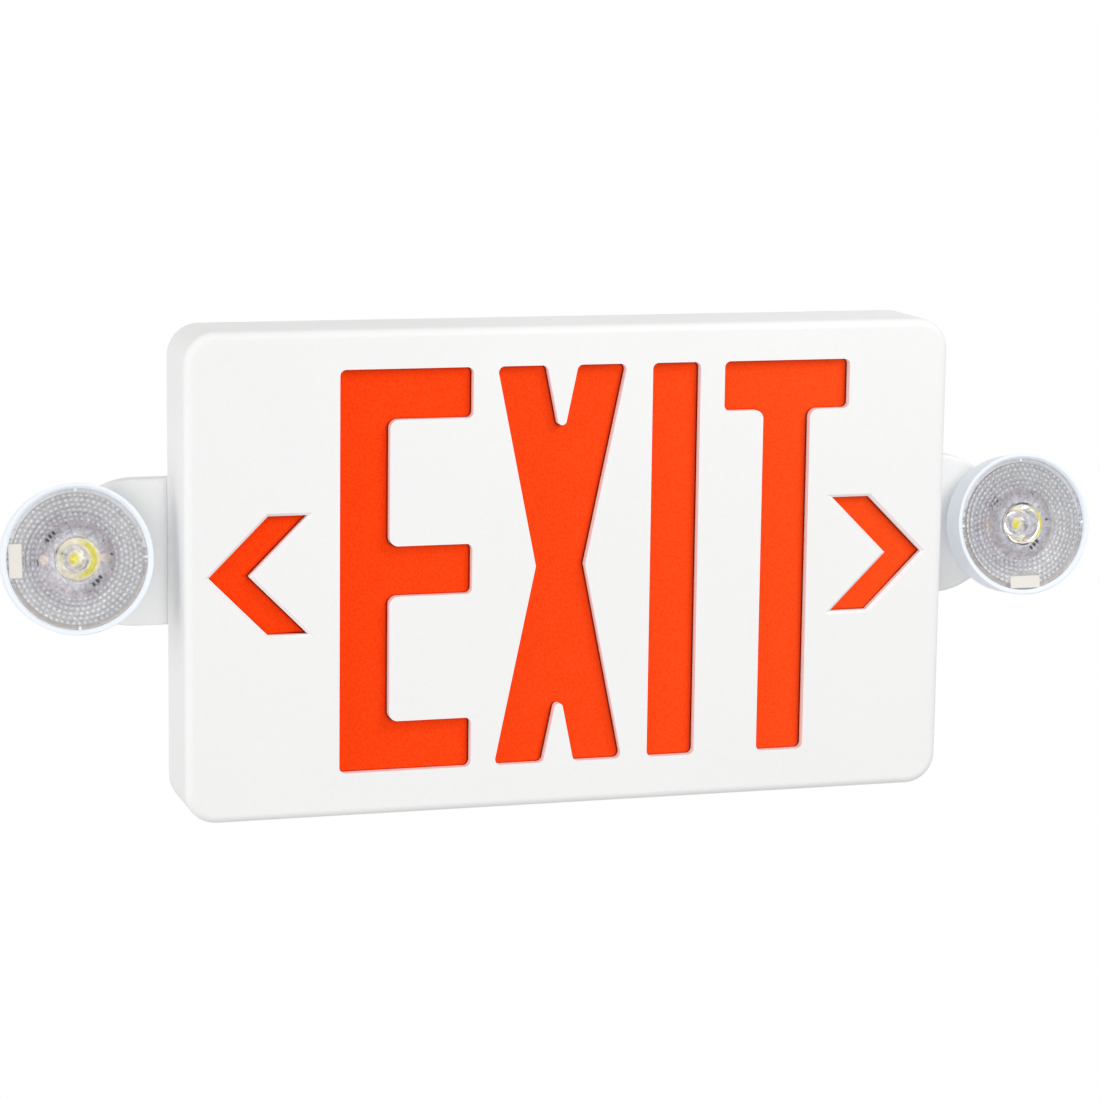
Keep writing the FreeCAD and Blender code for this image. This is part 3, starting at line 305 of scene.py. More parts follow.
@dataclass(frozen=True)
class MouldedPlastic(Finish):
    """Injection-moulded plastic with the fine eroded grain of its tool."""

    grain: float = 0.35 * MM
    depth: float = 0.010 * MM
    fleck: float = 0.9 * MM
    shade: float = 0.97
    bumpiness: float = 0.5

    def build(self) -> bpy.types.Material:
        """Makes the plastic's material.

        Returns:
            The material.
        """
        material, nodes, shader = self.start()
        self.dress(nodes, shader)
        return material

    def dress(self, nodes: NodeTree, shader: bpy.types.Node) -> bpy.types.Node:
        """Adds grain, flecks and a slow change of tone to the shader.

        Args:
            nodes: The material's nodes.
            shader: Its Principled shader.

        Returns:
            The grain group's node, for finishes that add to it.
        """
        grain = nodes.add("Group", node_tree=grain_group())
        nodes.feed(grain.inputs, {"Vector": nodes.place(), "Size": self.grain, "Fleck": self.fleck})
        blotch = nodes.math("MULTIPLY", grain.outputs["Tone"], 0.5)
        amount = nodes.math("ADD", blotch, nodes.math("MULTIPLY", grain.outputs["Speck"], 0.5))
        nodes.feed(shader.inputs, {
            "Base Color": nodes.mix(amount, self.colour, shaded(self.colour, self.shade)),
            "Roughness": nodes.math("MULTIPLY_ADD", grain.outputs["Tone"], 0.10, self.roughness - 0.05),
            "Normal": nodes.bump(grain.outputs["Height"], self.bumpiness, self.depth),
        })
        return grain


@dataclass(frozen=True)
class ThinPlastic(MouldedPlastic):
    """Moulded plastic with a painted bluish glow that stands in for soft fill light on its shaded sides."""

    daylight: Colour = (0.68, 0.84, 1.0)
    glow_strength: float = 0.12

    def build(self) -> bpy.types.Material:
        """Makes the plastic's material, with the painted fill glow as emission.

        Returns:
            The material.
        """
        material, nodes, shader = self.start()
        self.dress(nodes, shader)
        # Painted fill light: a faint bluish emission lights the plastic's shaded sides.
        nodes.feed(shader.inputs, {"Emission Color": self.daylight, "Emission Strength": self.glow_strength})
        return material


@dataclass(frozen=True)
class LitPanel(MouldedPlastic):
    """Translucent sheet with a sandy grain and painted shadow along the edges of the openings before it."""

    deep: Colour = (1.0, 0.038, 0.0)
    # The painted shadow's colour.
    shadow: Colour = (0.16, 0.0, 0.0)
    reach: float = 0.11
    glow_strength: float = 0.03

    def build(self) -> bpy.types.Material:
        """Makes the panel's material, with a painted sheen that leaves it deeper in colour towards -X, and painted
        shadow where its shade layer is low.

        Returns:
            The material.
        """
        material, nodes, shader = self.start()
        grain = self.dress(nodes, shader)
        # Painted sheen: the red pales towards +X, as if light from the right washed it.
        split = nodes.add("SeparateXYZ")
        nodes.feed(split.inputs, {0: nodes.place()})
        across = nodes.ramp(split.outputs["X"], self.reach, -self.reach)
        speck = nodes.math("MULTIPLY", nodes.ramp(grain.outputs["Speck"], 0.1, 0.9), 0.4)
        lit = nodes.mix(nodes.math("MULTIPLY_ADD", across, 0.5, speck), self.colour, self.deep)
        # Painted shadow: where the shade layer is low the red darkens to the shadow colour.
        nodes.feed(shader.inputs, {
            "Base Color": nodes.mix(nodes.attribute("shade"), self.shadow, lit),
            "Emission Color": self.deep,
            "Emission Strength": self.glow_strength,
        })
        return material


@dataclass(frozen=True)
class ClearPlastic(Finish):
    """Clear moulded plastic that lets lamps through to what it covers, with painted shade grey in the valleys
    between its pillows and patchy painted glints on their clear peaks.
    """

    # The painted valley shade, a dark reflection of the surroundings.
    valley: Colour = (0.44, 0.365, 0.315)
    ior: float = 1.49
    ripple: float = 1.5 * MM
    ripple_share: float = 0.55

    def build(self) -> bpy.types.Material:
        """Makes the clear material.

        Returns:
            The material.
        """
        material, nodes, shader = self.start()
        # Painted glints and shade: noise patches vary the clear peaks, and the mask paints the valleys grey.
        noise = nodes.noise(nodes.place(), 1.0 / self.ripple)
        uneven = nodes.math("MULTIPLY_ADD", nodes.ramp(noise, 0.35, 0.65), self.ripple_share,
                            1.0 - self.ripple_share)
        high = nodes.math("MULTIPLY", nodes.ramp(nodes.attribute("relief"), 0.3, 0.95), uneven)
        nodes.feed(shader.inputs, {"Base Color": nodes.mix(high, self.valley, self.colour),
                                   "Transmission Weight": 1.0, "IOR": self.ior})
        path = nodes.add("LightPath")
        passes = nodes.math("MAXIMUM", path.outputs["Is Shadow Ray"], path.outputs["Is Diffuse Ray"])
        nodes.blend(passes, shader, nodes.add("BsdfTransparent"))
        return material


@dataclass(frozen=True)
class PlatedMetal(Finish):
    """Plated or drawn metal with fine streaks."""

    streak: float = 1.6 * MM

    def build(self) -> bpy.types.Material:
        """Makes the metal's material.

        Returns:
            The material.
        """
        material, nodes, shader = self.start()
        noise = nodes.noise(nodes.place(), 1.0 / self.streak, 4.0)
        nodes.feed(shader.inputs, {
            "Metallic": 1.0,
            "Base Color": nodes.mix(noise, self.colour, shaded(self.colour, 0.8)),
            "Roughness": nodes.math("MULTIPLY_ADD", noise, 0.25, self.roughness - 0.12),
        })
        return material


@dataclass(frozen=True)
class SolderMask(Finish):
    """White solder mask over copper: tracks show as a faint step in height and tone, with flecks of print."""

    patch: float = 4.4 * MM
    step: float = 0.04 * MM
    fleck: float = 0.8 * MM
    ink: Colour = (0.38, 0.40, 0.48)

    def build(self) -> bpy.types.Material:
        """Makes the board's material.

        Returns:
            The material.
        """
        material, nodes, shader = self.start()
        place = nodes.place()
        cells = nodes.add("TexVoronoi", feature="DISTANCE_TO_EDGE", distance="EUCLIDEAN")
        nodes.feed(cells.inputs, {"Vector": place, "Scale": 1.0 / self.patch})
        copper = nodes.ramp(cells.outputs["Distance"], 0.10, 0.14)
        masked = nodes.mix(copper, shaded(self.colour, 0.8), self.colour)
        flecks = nodes.ramp(nodes.noise(place, 1.0 / self.fleck), 0.58, 0.64)
        nodes.feed(shader.inputs, {"Base Color": nodes.mix(flecks, masked, self.ink),
                                   "Normal": nodes.bump(copper, 0.4, self.step)})
        return material


@dataclass(frozen=True)
class Phosphor(Finish):
    """The dome of a white LED: pale resin with the yellow phosphor at its middle."""

    deeper: Colour = (0.7719, 0.72, 0.03)
    resin: Colour = (0.84, 0.80, 0.63)
    mottle: float = 0.3 * MM
    glow_strength: float = 0.16

    def build(self) -> bpy.types.Material:
        """Makes the dome's material.

        Returns:
            The material.
        """
        material, nodes, shader = self.start()
        yellow = nodes.mix(nodes.noise(nodes.place(), 1.0 / self.mottle), self.colour, self.deeper)
        tone = nodes.mix(nodes.ramp(nodes.attribute("core"), 0.39, 0.61), self.resin, yellow)
        nodes.feed(shader.inputs, {"Base Color": tone, "Emission Color": tone,
                                   "Emission Strength": self.glow_strength})
        return material


COVER_WHITE = MouldedPlastic("cover satin white", (0.93, 0.925, 0.92), 0.46, 0.35)
HOUSING_WHITE = MouldedPlastic("housing satin white", (0.90, 0.90, 0.89), 0.5, 0.35)
ARM_WHITE = MouldedPlastic("arm satin white", (0.95, 0.945, 0.935), 0.48, 0.35)
# The lamp's bluish white carries a painted glow that stands in for fill light.
LAMP_WHITE = ThinPlastic("lamp satin white", (0.82, 0.845, 0.88), 0.42, 0.4, grain=0.3 * MM)
GATE_CREAM = MouldedPlastic("gate frosted", (0.85, 0.82, 0.76), 0.6, 0.3)
PANEL_RED = LitPanel("legend red", (1.0, 0.086, 0.014), 0.8, 0.02, grain=0.5 * MM, depth=0.05 * MM,
                     fleck=0.7 * MM, bumpiness=0.6)
LENS_CLEAR = ClearPlastic("lens clear", (1.0, 0.985, 0.965), 0.03)
LED_YELLOW = Phosphor("led phosphor", (0.83, 0.80, 0.05), 0.4)
BOARD_WHITE = SolderMask("white solder mask", (0.74, 0.765, 0.90), 0.35)
BOARD_INK = MouldedPlastic("board print", (0.015, 0.015, 0.02), 0.6, 0.3)
SCREW_ZINC = PlatedMetal("zinc plate", (0.62, 0.62, 0.64), 0.34)
SCREW_NICKEL = PlatedMetal("nickel plate", (0.86, 0.86, 0.88), 0.4)
CORE_STEEL = PlatedMetal("varnished steel", (0.20, 0.20, 0.22), 0.5)
SPRING_STEEL = PlatedMetal("bright wire", (0.66, 0.66, 0.68), 0.28)
TAPE_AMBER = MouldedPlastic("coil tape", (0.60, 0.34, 0.02), 0.3)
BLACK_PLASTIC = MouldedPlastic("black moulding", (0.012, 0.012, 0.013), 0.45)
SLEEVE_NAVY = MouldedPlastic("capacitor sleeve", (0.008, 0.015, 0.05), 0.2)
TERMINAL_GREEN = MouldedPlastic("terminal moulding", (0.01, 0.13, 0.03), 0.42)
BATTERY_BLUE = MouldedPlastic("battery sleeve", (0.01, 0.04, 0.22), 0.22)
BUTTON_RED = MouldedPlastic("button moulding", (0.45, 0.005, 0.004), 0.35)
PILOT_GREEN = MouldedPlastic("pilot lens green", (0.03, 0.50, 0.06), 0.15)
LED_RED = MouldedPlastic("red led resin", (0.70, 0.01, 0.005), 0.15)


# ---------------------------------------------------------------- mesh helpers
def move(bm: bmesh.types.BMesh, offset: Sequence[float]) -> None:
    """Moves a whole mesh."""
    bmesh.ops.translate(bm, verts=bm.verts, vec=offset)


def turn(bm: bmesh.types.BMesh, angle: float) -> None:
    """Turns a whole mesh about the Z axis through the origin, by an angle in radians."""
    bmesh.ops.rotate(bm, verts=bm.verts, cent=(0, 0, 0), matrix=Matrix.Rotation(angle, 3, "Z"))


def soften(bm: bmesh.types.BMesh) -> None:
    """Smooths a mesh's faces and keeps its sharp edges.

    Args:
        bm: The mesh.
    """
    for face in bm.faces:
        face.smooth = True
    for edge in bm.edges:
        edge.smooth = edge.is_manifold and edge.calc_face_angle(0.0) < SMOOTH_LIMIT


def spun(profile: Sequence[Point], steps: int) -> bmesh.types.BMesh:
    """Spins a half section into a closed shell.

    Args:
        profile: Points (radius, height) from one pole to the other.
        steps: Segments of the full turn.

    Returns:
        The shell, faces outward.
    """
    bm = bmesh.new()
    verts = [bm.verts.new((radius, 0.0, height)) for radius, height in profile]
    edges = [bm.edges.new(pair) for pair in zip(verts, verts[1:])]
    bmesh.ops.spin(bm, geom=verts + edges, axis=(0, 0, 1), cent=(0, 0, 0), angle=FULL_TURN,
                   steps=steps, use_merge=True)
    bmesh.ops.remove_doubles(bm, verts=bm.verts, dist=1e-5)
    bmesh.ops.recalc_face_normals(bm, faces=bm.faces)
    return bm


def block(size: Sequence[float], at: Sequence[float], edge: float) -> bmesh.types.BMesh:
    """A box with rounded edges.

    Args:
        size: Its three sides.
        at: Its middle.
        edge: The radius of its edges.

    Returns:
        The box.
    """
    bm = bmesh.new()
    bmesh.ops.create_cube(bm, size=1.0)
    bmesh.ops.scale(bm, vec=size, verts=bm.verts)
    bmesh.ops.bevel(bm, geom=bm.edges[:], offset=edge, segments=2, profile=0.5, affect="EDGES", material=-1)
    move(bm, at)
    return bm


def merged(shells: Iterable[bmesh.types.BMesh]) -> bmesh.types.BMesh:
    """Puts several meshes into the first one and frees the others.

    Args:
        shells: The meshes.

    Returns:
        The first mesh, with the others' faces added.
    """
    whole, *rest = shells
    for part in rest:
        carrier = bpy.data.meshes.new("carrier")
        part.to_mesh(carrier)
        part.free()
        whole.from_mesh(carrier)
        bpy.data.meshes.remove(carrier)
    return whole


def ring_edges(verts: Iterable[bmesh.types.BMVert]) -> list[bmesh.types.BMEdge]:
    """The edges of a loop of points that nothing else is joined to yet."""
    return list(dict.fromkeys(edge for vert in verts for edge in vert.link_edges))


def place_object(bm: bmesh.types.BMesh, name: str, material: bpy.types.Material) -> bpy.types.Object:
    """Makes an object of a mesh and puts it in the scene.

    Args:
        bm: The mesh, which is freed.
        name: The object's name.
        material: Its material.

    Returns:
        The object.
    """
    mesh = bpy.data.meshes.new(name)
    bm.to_mesh(mesh)
    bm.free()
    mesh.materials.append(material)
    obj = bpy.data.objects.new(name, mesh)
    bpy.context.scene.collection.objects.link(obj)
    return obj


def piece(bm: bmesh.types.BMesh, name: str, finish: Finish, body: str,
          place: Matrix | None = None, stands_for: str | None = None) -> None:
    """Finishes a mesh as a piece of the light.

    Args:
        bm: The mesh, which is freed.
        name: The piece's name.
        finish: Its finish.
        body: The CAD body that it rides on.
        place: The transform from the mesh's own frame to the light's, or None.
        stands_for: The CAD node that it replaces, or None.
    """
    if place is not None:
        bm.transform(place)
    soften(bm)
    obj = place_object(bm, name, finish.material())
    even = obj.modifiers.new("even shading", "WEIGHTED_NORMAL")
    even.keep_sharp = True
    even.weight = 80
    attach(obj, body)
    if stands_for:
        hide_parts(stands_for)
    log.info("%s: %d faces on %s", name, len(obj.data.polygons), body)


def node_copy(node: str) -> bmesh.types.BMesh:
    """A merged copy of a CAD node's mesh, with its flat faces whole.

    Args:
        node: The node's name.

    Returns:
        The copy, in metres.
    """
    bm = bmesh.new()
    bm.from_mesh(frame["nodes"][node].data)
    bmesh.ops.remove_doubles(bm, verts=bm.verts, dist=SAME_POINT)
    bmesh.ops.dissolve_limit(bm, angle_limit=FLAT_LIMIT, verts=bm.verts, edges=bm.edges, delimit={"NORMAL"})
    return bm


def round_edges(bm: bmesh.types.BMesh, radius: float, chosen: Callable[[bmesh.types.BMVert], bool]) -> None:
    """Rounds the sharp edges whose two ends are chosen.

    Args:
        bm: The mesh.
        radius: The radius in metres.
        chosen: A test of a point.
    """
    edges = [edge for edge in bm.edges
             if edge.is_manifold and edge.calc_face_angle(0.0) > SHARP_LIMIT and all(map(chosen, edge.verts))]
    bmesh.ops.bevel(bm, geom=edges, offset=radius, segments=2, profile=0.5, affect="EDGES", material=-1,
                    clamp_overlap=True)


def dress_nodes(finishes: dict[Finish, Sequence[str]]) -> None:
    """Gives CAD nodes their finishes.

    Args:
        finishes: The names of the nodes that each finish goes on.
    """
    for finish, names in finishes.items():
        for name in names:
            materials = frame["nodes"][name].data.materials
            materials.clear()
            materials.append(finish.material())


# ---------------------------------------------------------------- sub-assemblies
@dataclass
class SignFace:
    """The legend cover and the red panel behind it."""

    letter_edge: float = 0.25 * MM
    skirt_edge: float = 0.3 * MM
    panel_gap: float = 0.4 * MM
    outline_limit: float = 0.02 * MM
    # Painted shade on the panel inside each opening: ring widths and levels, the light's direction, and how an
    # edge's facing sets its share.
    shade_steps: tuple[Point, ...] = ((0.3 * MM, 0.12), (0.3 * MM, 0.62), (0.6 * MM, 0.86), (0.9 * MM, 1.0))
    shade_from: Point = (0.66, 0.75)
    shade_middle: float = 0.35
    shade_swing: float = 0.65
    rim_share: float = 0.4
    inner_gain: float = 1.4

    def build(self) -> None:
        """Builds the cover and the panel."""
        low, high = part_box("front_cover")
        bm = node_copy("front_cover")
        self.panel(bm)
        round_edges(bm, self.letter_edge, lambda vert: vert.co.y < low[1] + NEAR_PLANE)
        round_edges(bm, self.skirt_edge, lambda vert: vert.co.y > high[1] - NEAR_PLANE)
        piece(bm, "cover_moulding", COVER_WHITE, "sign", stands_for="front_cover")

    def on_opening(self, edge: bmesh.types.BMEdge, plane: float) -> bool:
        """Tells the edges where a wall of an opening meets the back of the plate.

        Args:
            edge: An edge of the cover.
            plane: The Y of the plate's back.

        Returns:
            True for such an edge.
        """
        level = all(abs(vert.co.y - plane) < self.outline_limit for vert in edge.verts)
        facing = sorted(abs(face.normal.y) for face in edge.link_faces)
        return level and edge.is_convex and facing[0] < 0.1 and facing[-1] > 0.9

    def outlines(self, cover: bmesh.types.BMesh, plane: float, bm: bmesh.types.BMesh,
                 front: float) -> list[bmesh.types.BMEdge]:
        """Copies the legend's outlines from the cover on to the panel.

        Args:
            cover: The cover's mesh, which is only read.
            plane: The Y of the plate's back.
            bm: The panel's mesh.
            front: The Y of the panel's front.

        Returns:
            The outlines' edges, which form closed loops.
        """
        known: dict[int, bmesh.types.BMVert] = {}
        rim = []
        for edge in cover.edges:
            if self.on_opening(edge, plane):
                for vert in edge.verts:
                    if vert.index not in known:
                        known[vert.index] = bm.verts.new((vert.co.x, front, vert.co.z))
                rim.append(bm.edges.new([known[vert.index] for vert in edge.verts]))
        return rim

    def border(self, bm: bmesh.types.BMesh, low: Vector, high: Vector, front: float) -> list[bmesh.types.BMEdge]:
        """Draws the panel's outer rectangle.

        Args:
            bm: The panel's mesh.
            low: The panel's lowest corner.
            high: The panel's highest corner.
            front: The Y of the panel's front.

        Returns:
            The rectangle's edges.
        """
        verts = bmesh.ops.create_circle(bm, radius=math.sqrt(0.5), segments=4)["verts"]
        for angle, axis in ((math.pi / 4, "Z"), (QUARTER_TURN, "X")):
            bmesh.ops.rotate(bm, verts=verts, cent=(0, 0, 0), matrix=Matrix.Rotation(angle, 3, axis))
        bmesh.ops.scale(bm, vec=(high.x - low.x, 1.0, high.z - low.z), verts=verts)
        middle = (low + high) / 2
        bmesh.ops.translate(bm, vec=(middle.x, front, middle.z), verts=verts)
        return ring_edges(verts)

    def openness(self, face: bmesh.types.BMFace) -> list[float]:
        """How open to the light each corner of an outline is, which sets its painted shade.

        Args:
            face: The outline's face.

        Returns:
            The openness of its corners in order, from 0 at the upper right to 1.
        """
        right, up = self.shade_from
        values = []
        for loop in face.loops:
            ahead = (loop.link_loop_next.vert.co - loop.link_loop_prev.vert.co).normalized()
            outward = ahead.cross(face.normal)
            lean = outward.x * right + outward.z * up
            values.append(min(max(self.shade_middle - self.shade_swing * lean, 0.0), 1.0))
        return values

    def shade(self, bm: bmesh.types.BMesh, letters: Iterable[bmesh.types.BMFace]) -> None:
        """Writes painted shade along the letters' outlines, in rings inside each of them.

        Args:
            bm: The panel's mesh.
            letters: The letters' faces.
        """
        mark = bm.verts.layers.float.new("shade")
        for vert in bm.verts:
            vert[mark] = 1.0
        for letter in letters:
            openness = self.openness(letter)
            for vert, share in zip(letter.verts, openness):
                vert[mark] = self.rim_share * share
            for width, level in self.shade_steps:
                bmesh.ops.inset_individual(bm, faces=[letter], thickness=width, use_even_offset=True)
                for vert, share in zip(letter.verts, openness):
                    vert[mark] = min(level + (1.0 - level) * self.inner_gain * share, 1.0)

    def panel(self, cover: bmesh.types.BMesh) -> None:
        """Builds the red panel.

        Args:
            cover: The cover's mesh, which is only read.
        """
        low, high = (Vector(corner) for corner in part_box("diffuser_panel"))
        front = low.y + self.panel_gap
        bm = bmesh.new()
        rim = self.outlines(cover, low.y, bm, front)
        letters = bmesh.ops.holes_fill(bm, edges=rim, sides=0)["faces"]
        bmesh.ops.triangle_fill(bm, edges=self.border(bm, low, high, front) + rim, use_beauty=True)
        bmesh.ops.recalc_face_normals(bm, faces=bm.faces)
        self.shade(bm, letters)
        made = bmesh.ops.extrude_face_region(bm, geom=bm.faces[:])["geom"]
        back = [item for item in made if isinstance(item, bmesh.types.BMVert)]
        bmesh.ops.translate(bm, verts=back, vec=(0, high.y - front, 0))
        bmesh.ops.recalc_face_normals(bm, faces=bm.faces)
        piece(bm, "legend_panel", PANEL_RED, "sign", stands_for="diffuser_panel")


@dataclass
class SignBox:
    """The housing and what it holds."""

    edge: float = 0.3 * MM

    def build(self) -> None:
        """Builds the housing and dresses the gear inside it."""
        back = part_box("housing")[1][1]
        bm = node_copy("housing")
        round_edges(bm, self.edge, lambda vert: vert.co.y > back - NEAR_PLANE)
        piece(bm, "housing_moulding", HOUSING_WHITE, "sign", stands_for="housing")
        dress_nodes({
            BOARD_WHITE: ["legend_board_upper", "legend_board_lower", "control_board", "switch_board"],
            LED_RED: ["legend_leds"],
            SCREW_ZINC: ["legend_board_screws", "control_board_screws", "battery_strap_screws",
                         "arm_screws_left", "arm_screws_right", "battery_strap"],
            CORE_STEEL: ["transformer_core"],
            TAPE_AMBER: ["transformer_coil"],
            BLACK_PLASTIC: ["relay", "test_switch"],
            SLEEVE_NAVY: ["capacitors"],
            TERMINAL_GREEN: ["terminal_block"],
            BATTERY_BLUE: ["battery_pack"],
            BUTTON_RED: ["test_button"],
            SPRING_STEEL: ["test_spring"],
            PILOT_GREEN: ["pilot_lens", "pilot_led"],
        })


@dataclass(frozen=True)
class BoardPrint:
    """The dark pads, dots and dashes on a lamp's board, in millimetres and degrees."""

    thickness: float = 0.08
    edge: float = 0.03
    pad: Point = (1.7, 1.05)
    pad_radius: float = 12.1
    pad_angles: tuple[float, ...] = (126.5, 135.0, 143.5, -53.5, -45.0, -36.5)
    dot: float = 0.5
    dot_radius: float = 14.3
    dot_angles: Point = (5.0, 185.0)
    dash: Point = (0.5, 0.35)
    dashes: int = 14
    dash_radius: float = 13.4
    dash_wander: float = 1.4
    dash_wave: float = 2.3
    dash_from: float = 200.0
    dash_pitch: float = 23.7

    def flat(self, size: Point) -> bmesh.types.BMesh:
        """A thin plate about the origin."""
        return block((*size, self.thickness), (0, 0, 0), self.edge)

    def build(self, height: float) -> bmesh.types.BMesh:
        """Makes the whole print.

        Args:
            height: The height of its middle.

        Returns:
            The print's mesh.
        """
        half = self.thickness / 2
        placed = [(self.flat(self.pad), self.pad_radius, angle) for angle in self.pad_angles]
        for angle in self.dot_angles:
            disc = spun([(0, half), (self.dot, half), (self.dot, -half), (0, -half)], 20)
            placed.append((disc, self.dot_radius, angle))
        for step in range(self.dashes):
            radius = self.dash_radius + self.dash_wander * math.sin(step * self.dash_wave)
            placed.append((self.flat(self.dash), radius, self.dash_from + step * self.dash_pitch))
        for shell, radius, angle in placed:
            move(shell, (radius, 0, height))
            turn(shell, math.radians(angle))
        return merged(shell for shell, _, _ in placed)


@dataclass(frozen=True)
class Ring:
    """One ring of the lens's shell."""

    radius: float
    height: float
    corners: int
    # How clear the lens is painted at this ring, from 0 for its painted valley shade to 1.
    relief: float = 1.0
    lift: float | None = None


@dataclass
class LampHead:
    """One lamp, in millimetres. Its own frame has Z forward from the tilt pin and X to the lens's gate."""

    side: Side
    lens_turn: float
    tilt: float = math.radians(9.0)
    lens_radius: float = 26.0
    lens_front: float = 20.7
    lens_back: float = 18.5
    lens_edge: float = 0.15
    flange: float = 1.75
    flange_drop: float = 0.35
    notch_depth: float = 1.4
    notch_half: float = 0.62
    outer_corners: int = 240
    eye_radius: float = 4.2
    eye_depth: float = 1.8
    eye_rise: float = 1.6
    eye_corners: int = 48
    optic_radius: float = 8.5
    optic_tip: float = 4.8
    optic_length: float = 6.3
    optic_bow: float = 1.6
    optic_corners: int = 64
    well_radius: float = 3.1
    well_depth: float = 2.6
    well_crown: float = 0.3
    pillow_first: float = 14.9
    pillow_pitch: float = 1.72
    pillow_rows: int = 6
    pillow_width: float = 2.1
    pillow_height: float = 0.36
    pillow_corners: int = 6
    plain_from: float = 19.6
    plain_half: float = 6.0
    gate: tuple[float, float, float] = (4.7, 12.4, 0.4)
    gate_radius: float = 22.95
    gate_rise: float = 0.02
    key: tuple[float, float, float] = (1.25, 1.0, 1.7)
    key_inset: float = 0.7
    key_rise: float = 1.0
    mark_edge: float = 0.08
    board_top: float = 10.6
    print_rise: float = 0.06
    led_base: tuple[float, float, float] = (5.0, 5.0, 0.8)
    led_edge: float = 0.1
    led_rise: float = 0.42
    dome: tuple[Point, ...] = ((0, 2.5), (0.45, 2.45), (0.9, 2.3), (1.3, 2.05), (1.7, 1.65), (2.0, 1.2),
                               (2.15, 0.86), (0, 0.86))

    def __post_init__(self) -> None:
        """Finds the lamp's place from the tilt joint."""
        joint = next(joint for joint in frame["joints"] if joint["name"] == self.name("tilt"))
        forward = Matrix.Rotation(QUARTER_TURN - self.tilt, 4, "X")
        self.place = Matrix.Translation(Vector(joint["pos_m"])) @ forward @ Matrix.Scale(MM, 4)
        self.body = self.name("lamp")

    def name(self, part: str) -> str:
        """The part's name with the lamp's side."""
        return f"{part}_{self.side.label}"

    def add(self, bm: bmesh.types.BMesh, part: str, finish: Finish, slot: Slot,
            stands_for: str | None = None) -> None:
        """Adds a mesh in the lamp's own frame as a piece of the lamp.

        Args:
            bm: The mesh.
            part: The part's name without the side.
            finish: Its finish.
            slot: Not used.
            stands_for: The CAD node that it replaces, without the side, or None.
        """
        piece(bm, self.name(part), finish, self.body, self.place, stands_for and self.name(stands_for))

    def build(self) -> None:
        """Builds every piece of the lamp."""
        self.mouldings()
        self.lens()
        self.lens_marks()
        self.add(BoardPrint().build(self.board_top + self.print_rise), "board_print", BOARD_INK, Slot.BOARD)
        self.led()
        dress_nodes({
            BOARD_WHITE: [self.name("lamp_board")],
            SCREW_NICKEL: [self.name("lamp_board_screws")],
            SCREW_ZINC: [self.name("tilt_pin")],
            SPRING_STEEL: [self.name("swivel_ring")],
        })

    def mouldings(self) -> None:
        """Merges the arm, the fork and the drum for even shading."""
        for part, body, finish in (("lamp_arm", "sign", ARM_WHITE), ("swivel_fork", self.name("swivel"), ARM_WHITE),
                                   ("lamp_shell", self.body, LAMP_WHITE)):
            node = self.name(part)
            piece(node_copy(node), self.name(part + "_moulding"), finish, body, stands_for=node)

    def eye_rings(self) -> list[Ring]:
        """Shapes the ball in the lens's middle.

        Returns:
            Its rings, from its top to the front face.
        """
        front = self.lens_front
        floor = front - self.eye_depth
        rings = [(self.eye_radius * share, floor + self.eye_rise * (1 - share ** 2))
                 for share in (0.12, 0.35, 0.6, 0.82, 1.0)]
        rings += [(self.eye_radius + 0.12, front - 0.05), (self.eye_radius + 0.2, front)]
        return [Ring(radius, height, self.eye_corners) for radius, height in rings]

    def edge_rings(self) -> list[Ring]:
        """Shapes the front face's edge, the flange and the lens's rim.

        Returns:
            Their rings, from the front face to the back.
        """
        step = self.lens_radius - self.flange
        low = self.lens_front - self.flange_drop
        inner = self.lens_radius - self.lens_edge
        # The third numbers paint the flange and rim partly with the lens's valley shade.
        rings = [(step - 0.08, self.lens_front, 1.0), (step, low, 0.5), (inner, low, 0.6),
                 (self.lens_radius, low - self.lens_edge, 0.6),
                 (self.lens_radius, self.lens_back + self.lens_edge, 0.6), (inner, self.lens_back, 0.6)]
        return [Ring(radius, height, self.outer_corners, relief) for radius, height, relief in rings]

    def pillow_rings(self) -> list[Ring]:
        """Shapes the rows of pillows on the lens's back.

        Returns:
            Their rings, from the outermost inward.
        """
        half = self.pillow_pitch / 2 - 0.02
        rings = []
        for row in reversed(range(self.pillow_rows)):
            middle = self.pillow_first + row * self.pillow_pitch
            corners = self.pillow_corners * round(FULL_TURN * middle / self.pillow_width)
            rings += [Ring(middle + lift * half, self.lens_back, corners, 0.0, lift)
                      for lift in (1.0, 0.67, 0.33, 0.0, -0.33, -0.67, -1.0)]
        return rings

    def optic_rings(self) -> list[Ring]:
        """Shapes the cone behind the ball and the well for the LED.

        Returns:
            Their rings, from the lens's back to the well's top.
        """
        tip = self.lens_back - self.optic_length
        top = tip + self.well_depth - self.well_crown
        rings = [(self.optic_radius + (self.optic_tip - self.optic_radius) * share ** self.optic_bow,
                  self.lens_back - self.optic_length * share) for share in (0.06, 0.25, 0.5, 0.75, 1.0)]
        rings += [(self.well_radius + 0.1, tip), (self.well_radius, tip + 0.1), (self.well_radius * 0.98, top)]
        rings += [(self.well_radius * share, top + self.well_crown * (1 - share)) for share in (0.8, 0.5, 0.15)]
        root = Ring(self.optic_radius + 0.15, self.lens_back, self.optic_corners, 0.8)
        return [root] + [Ring(radius, height, self.optic_corners) for radius, height in rings]

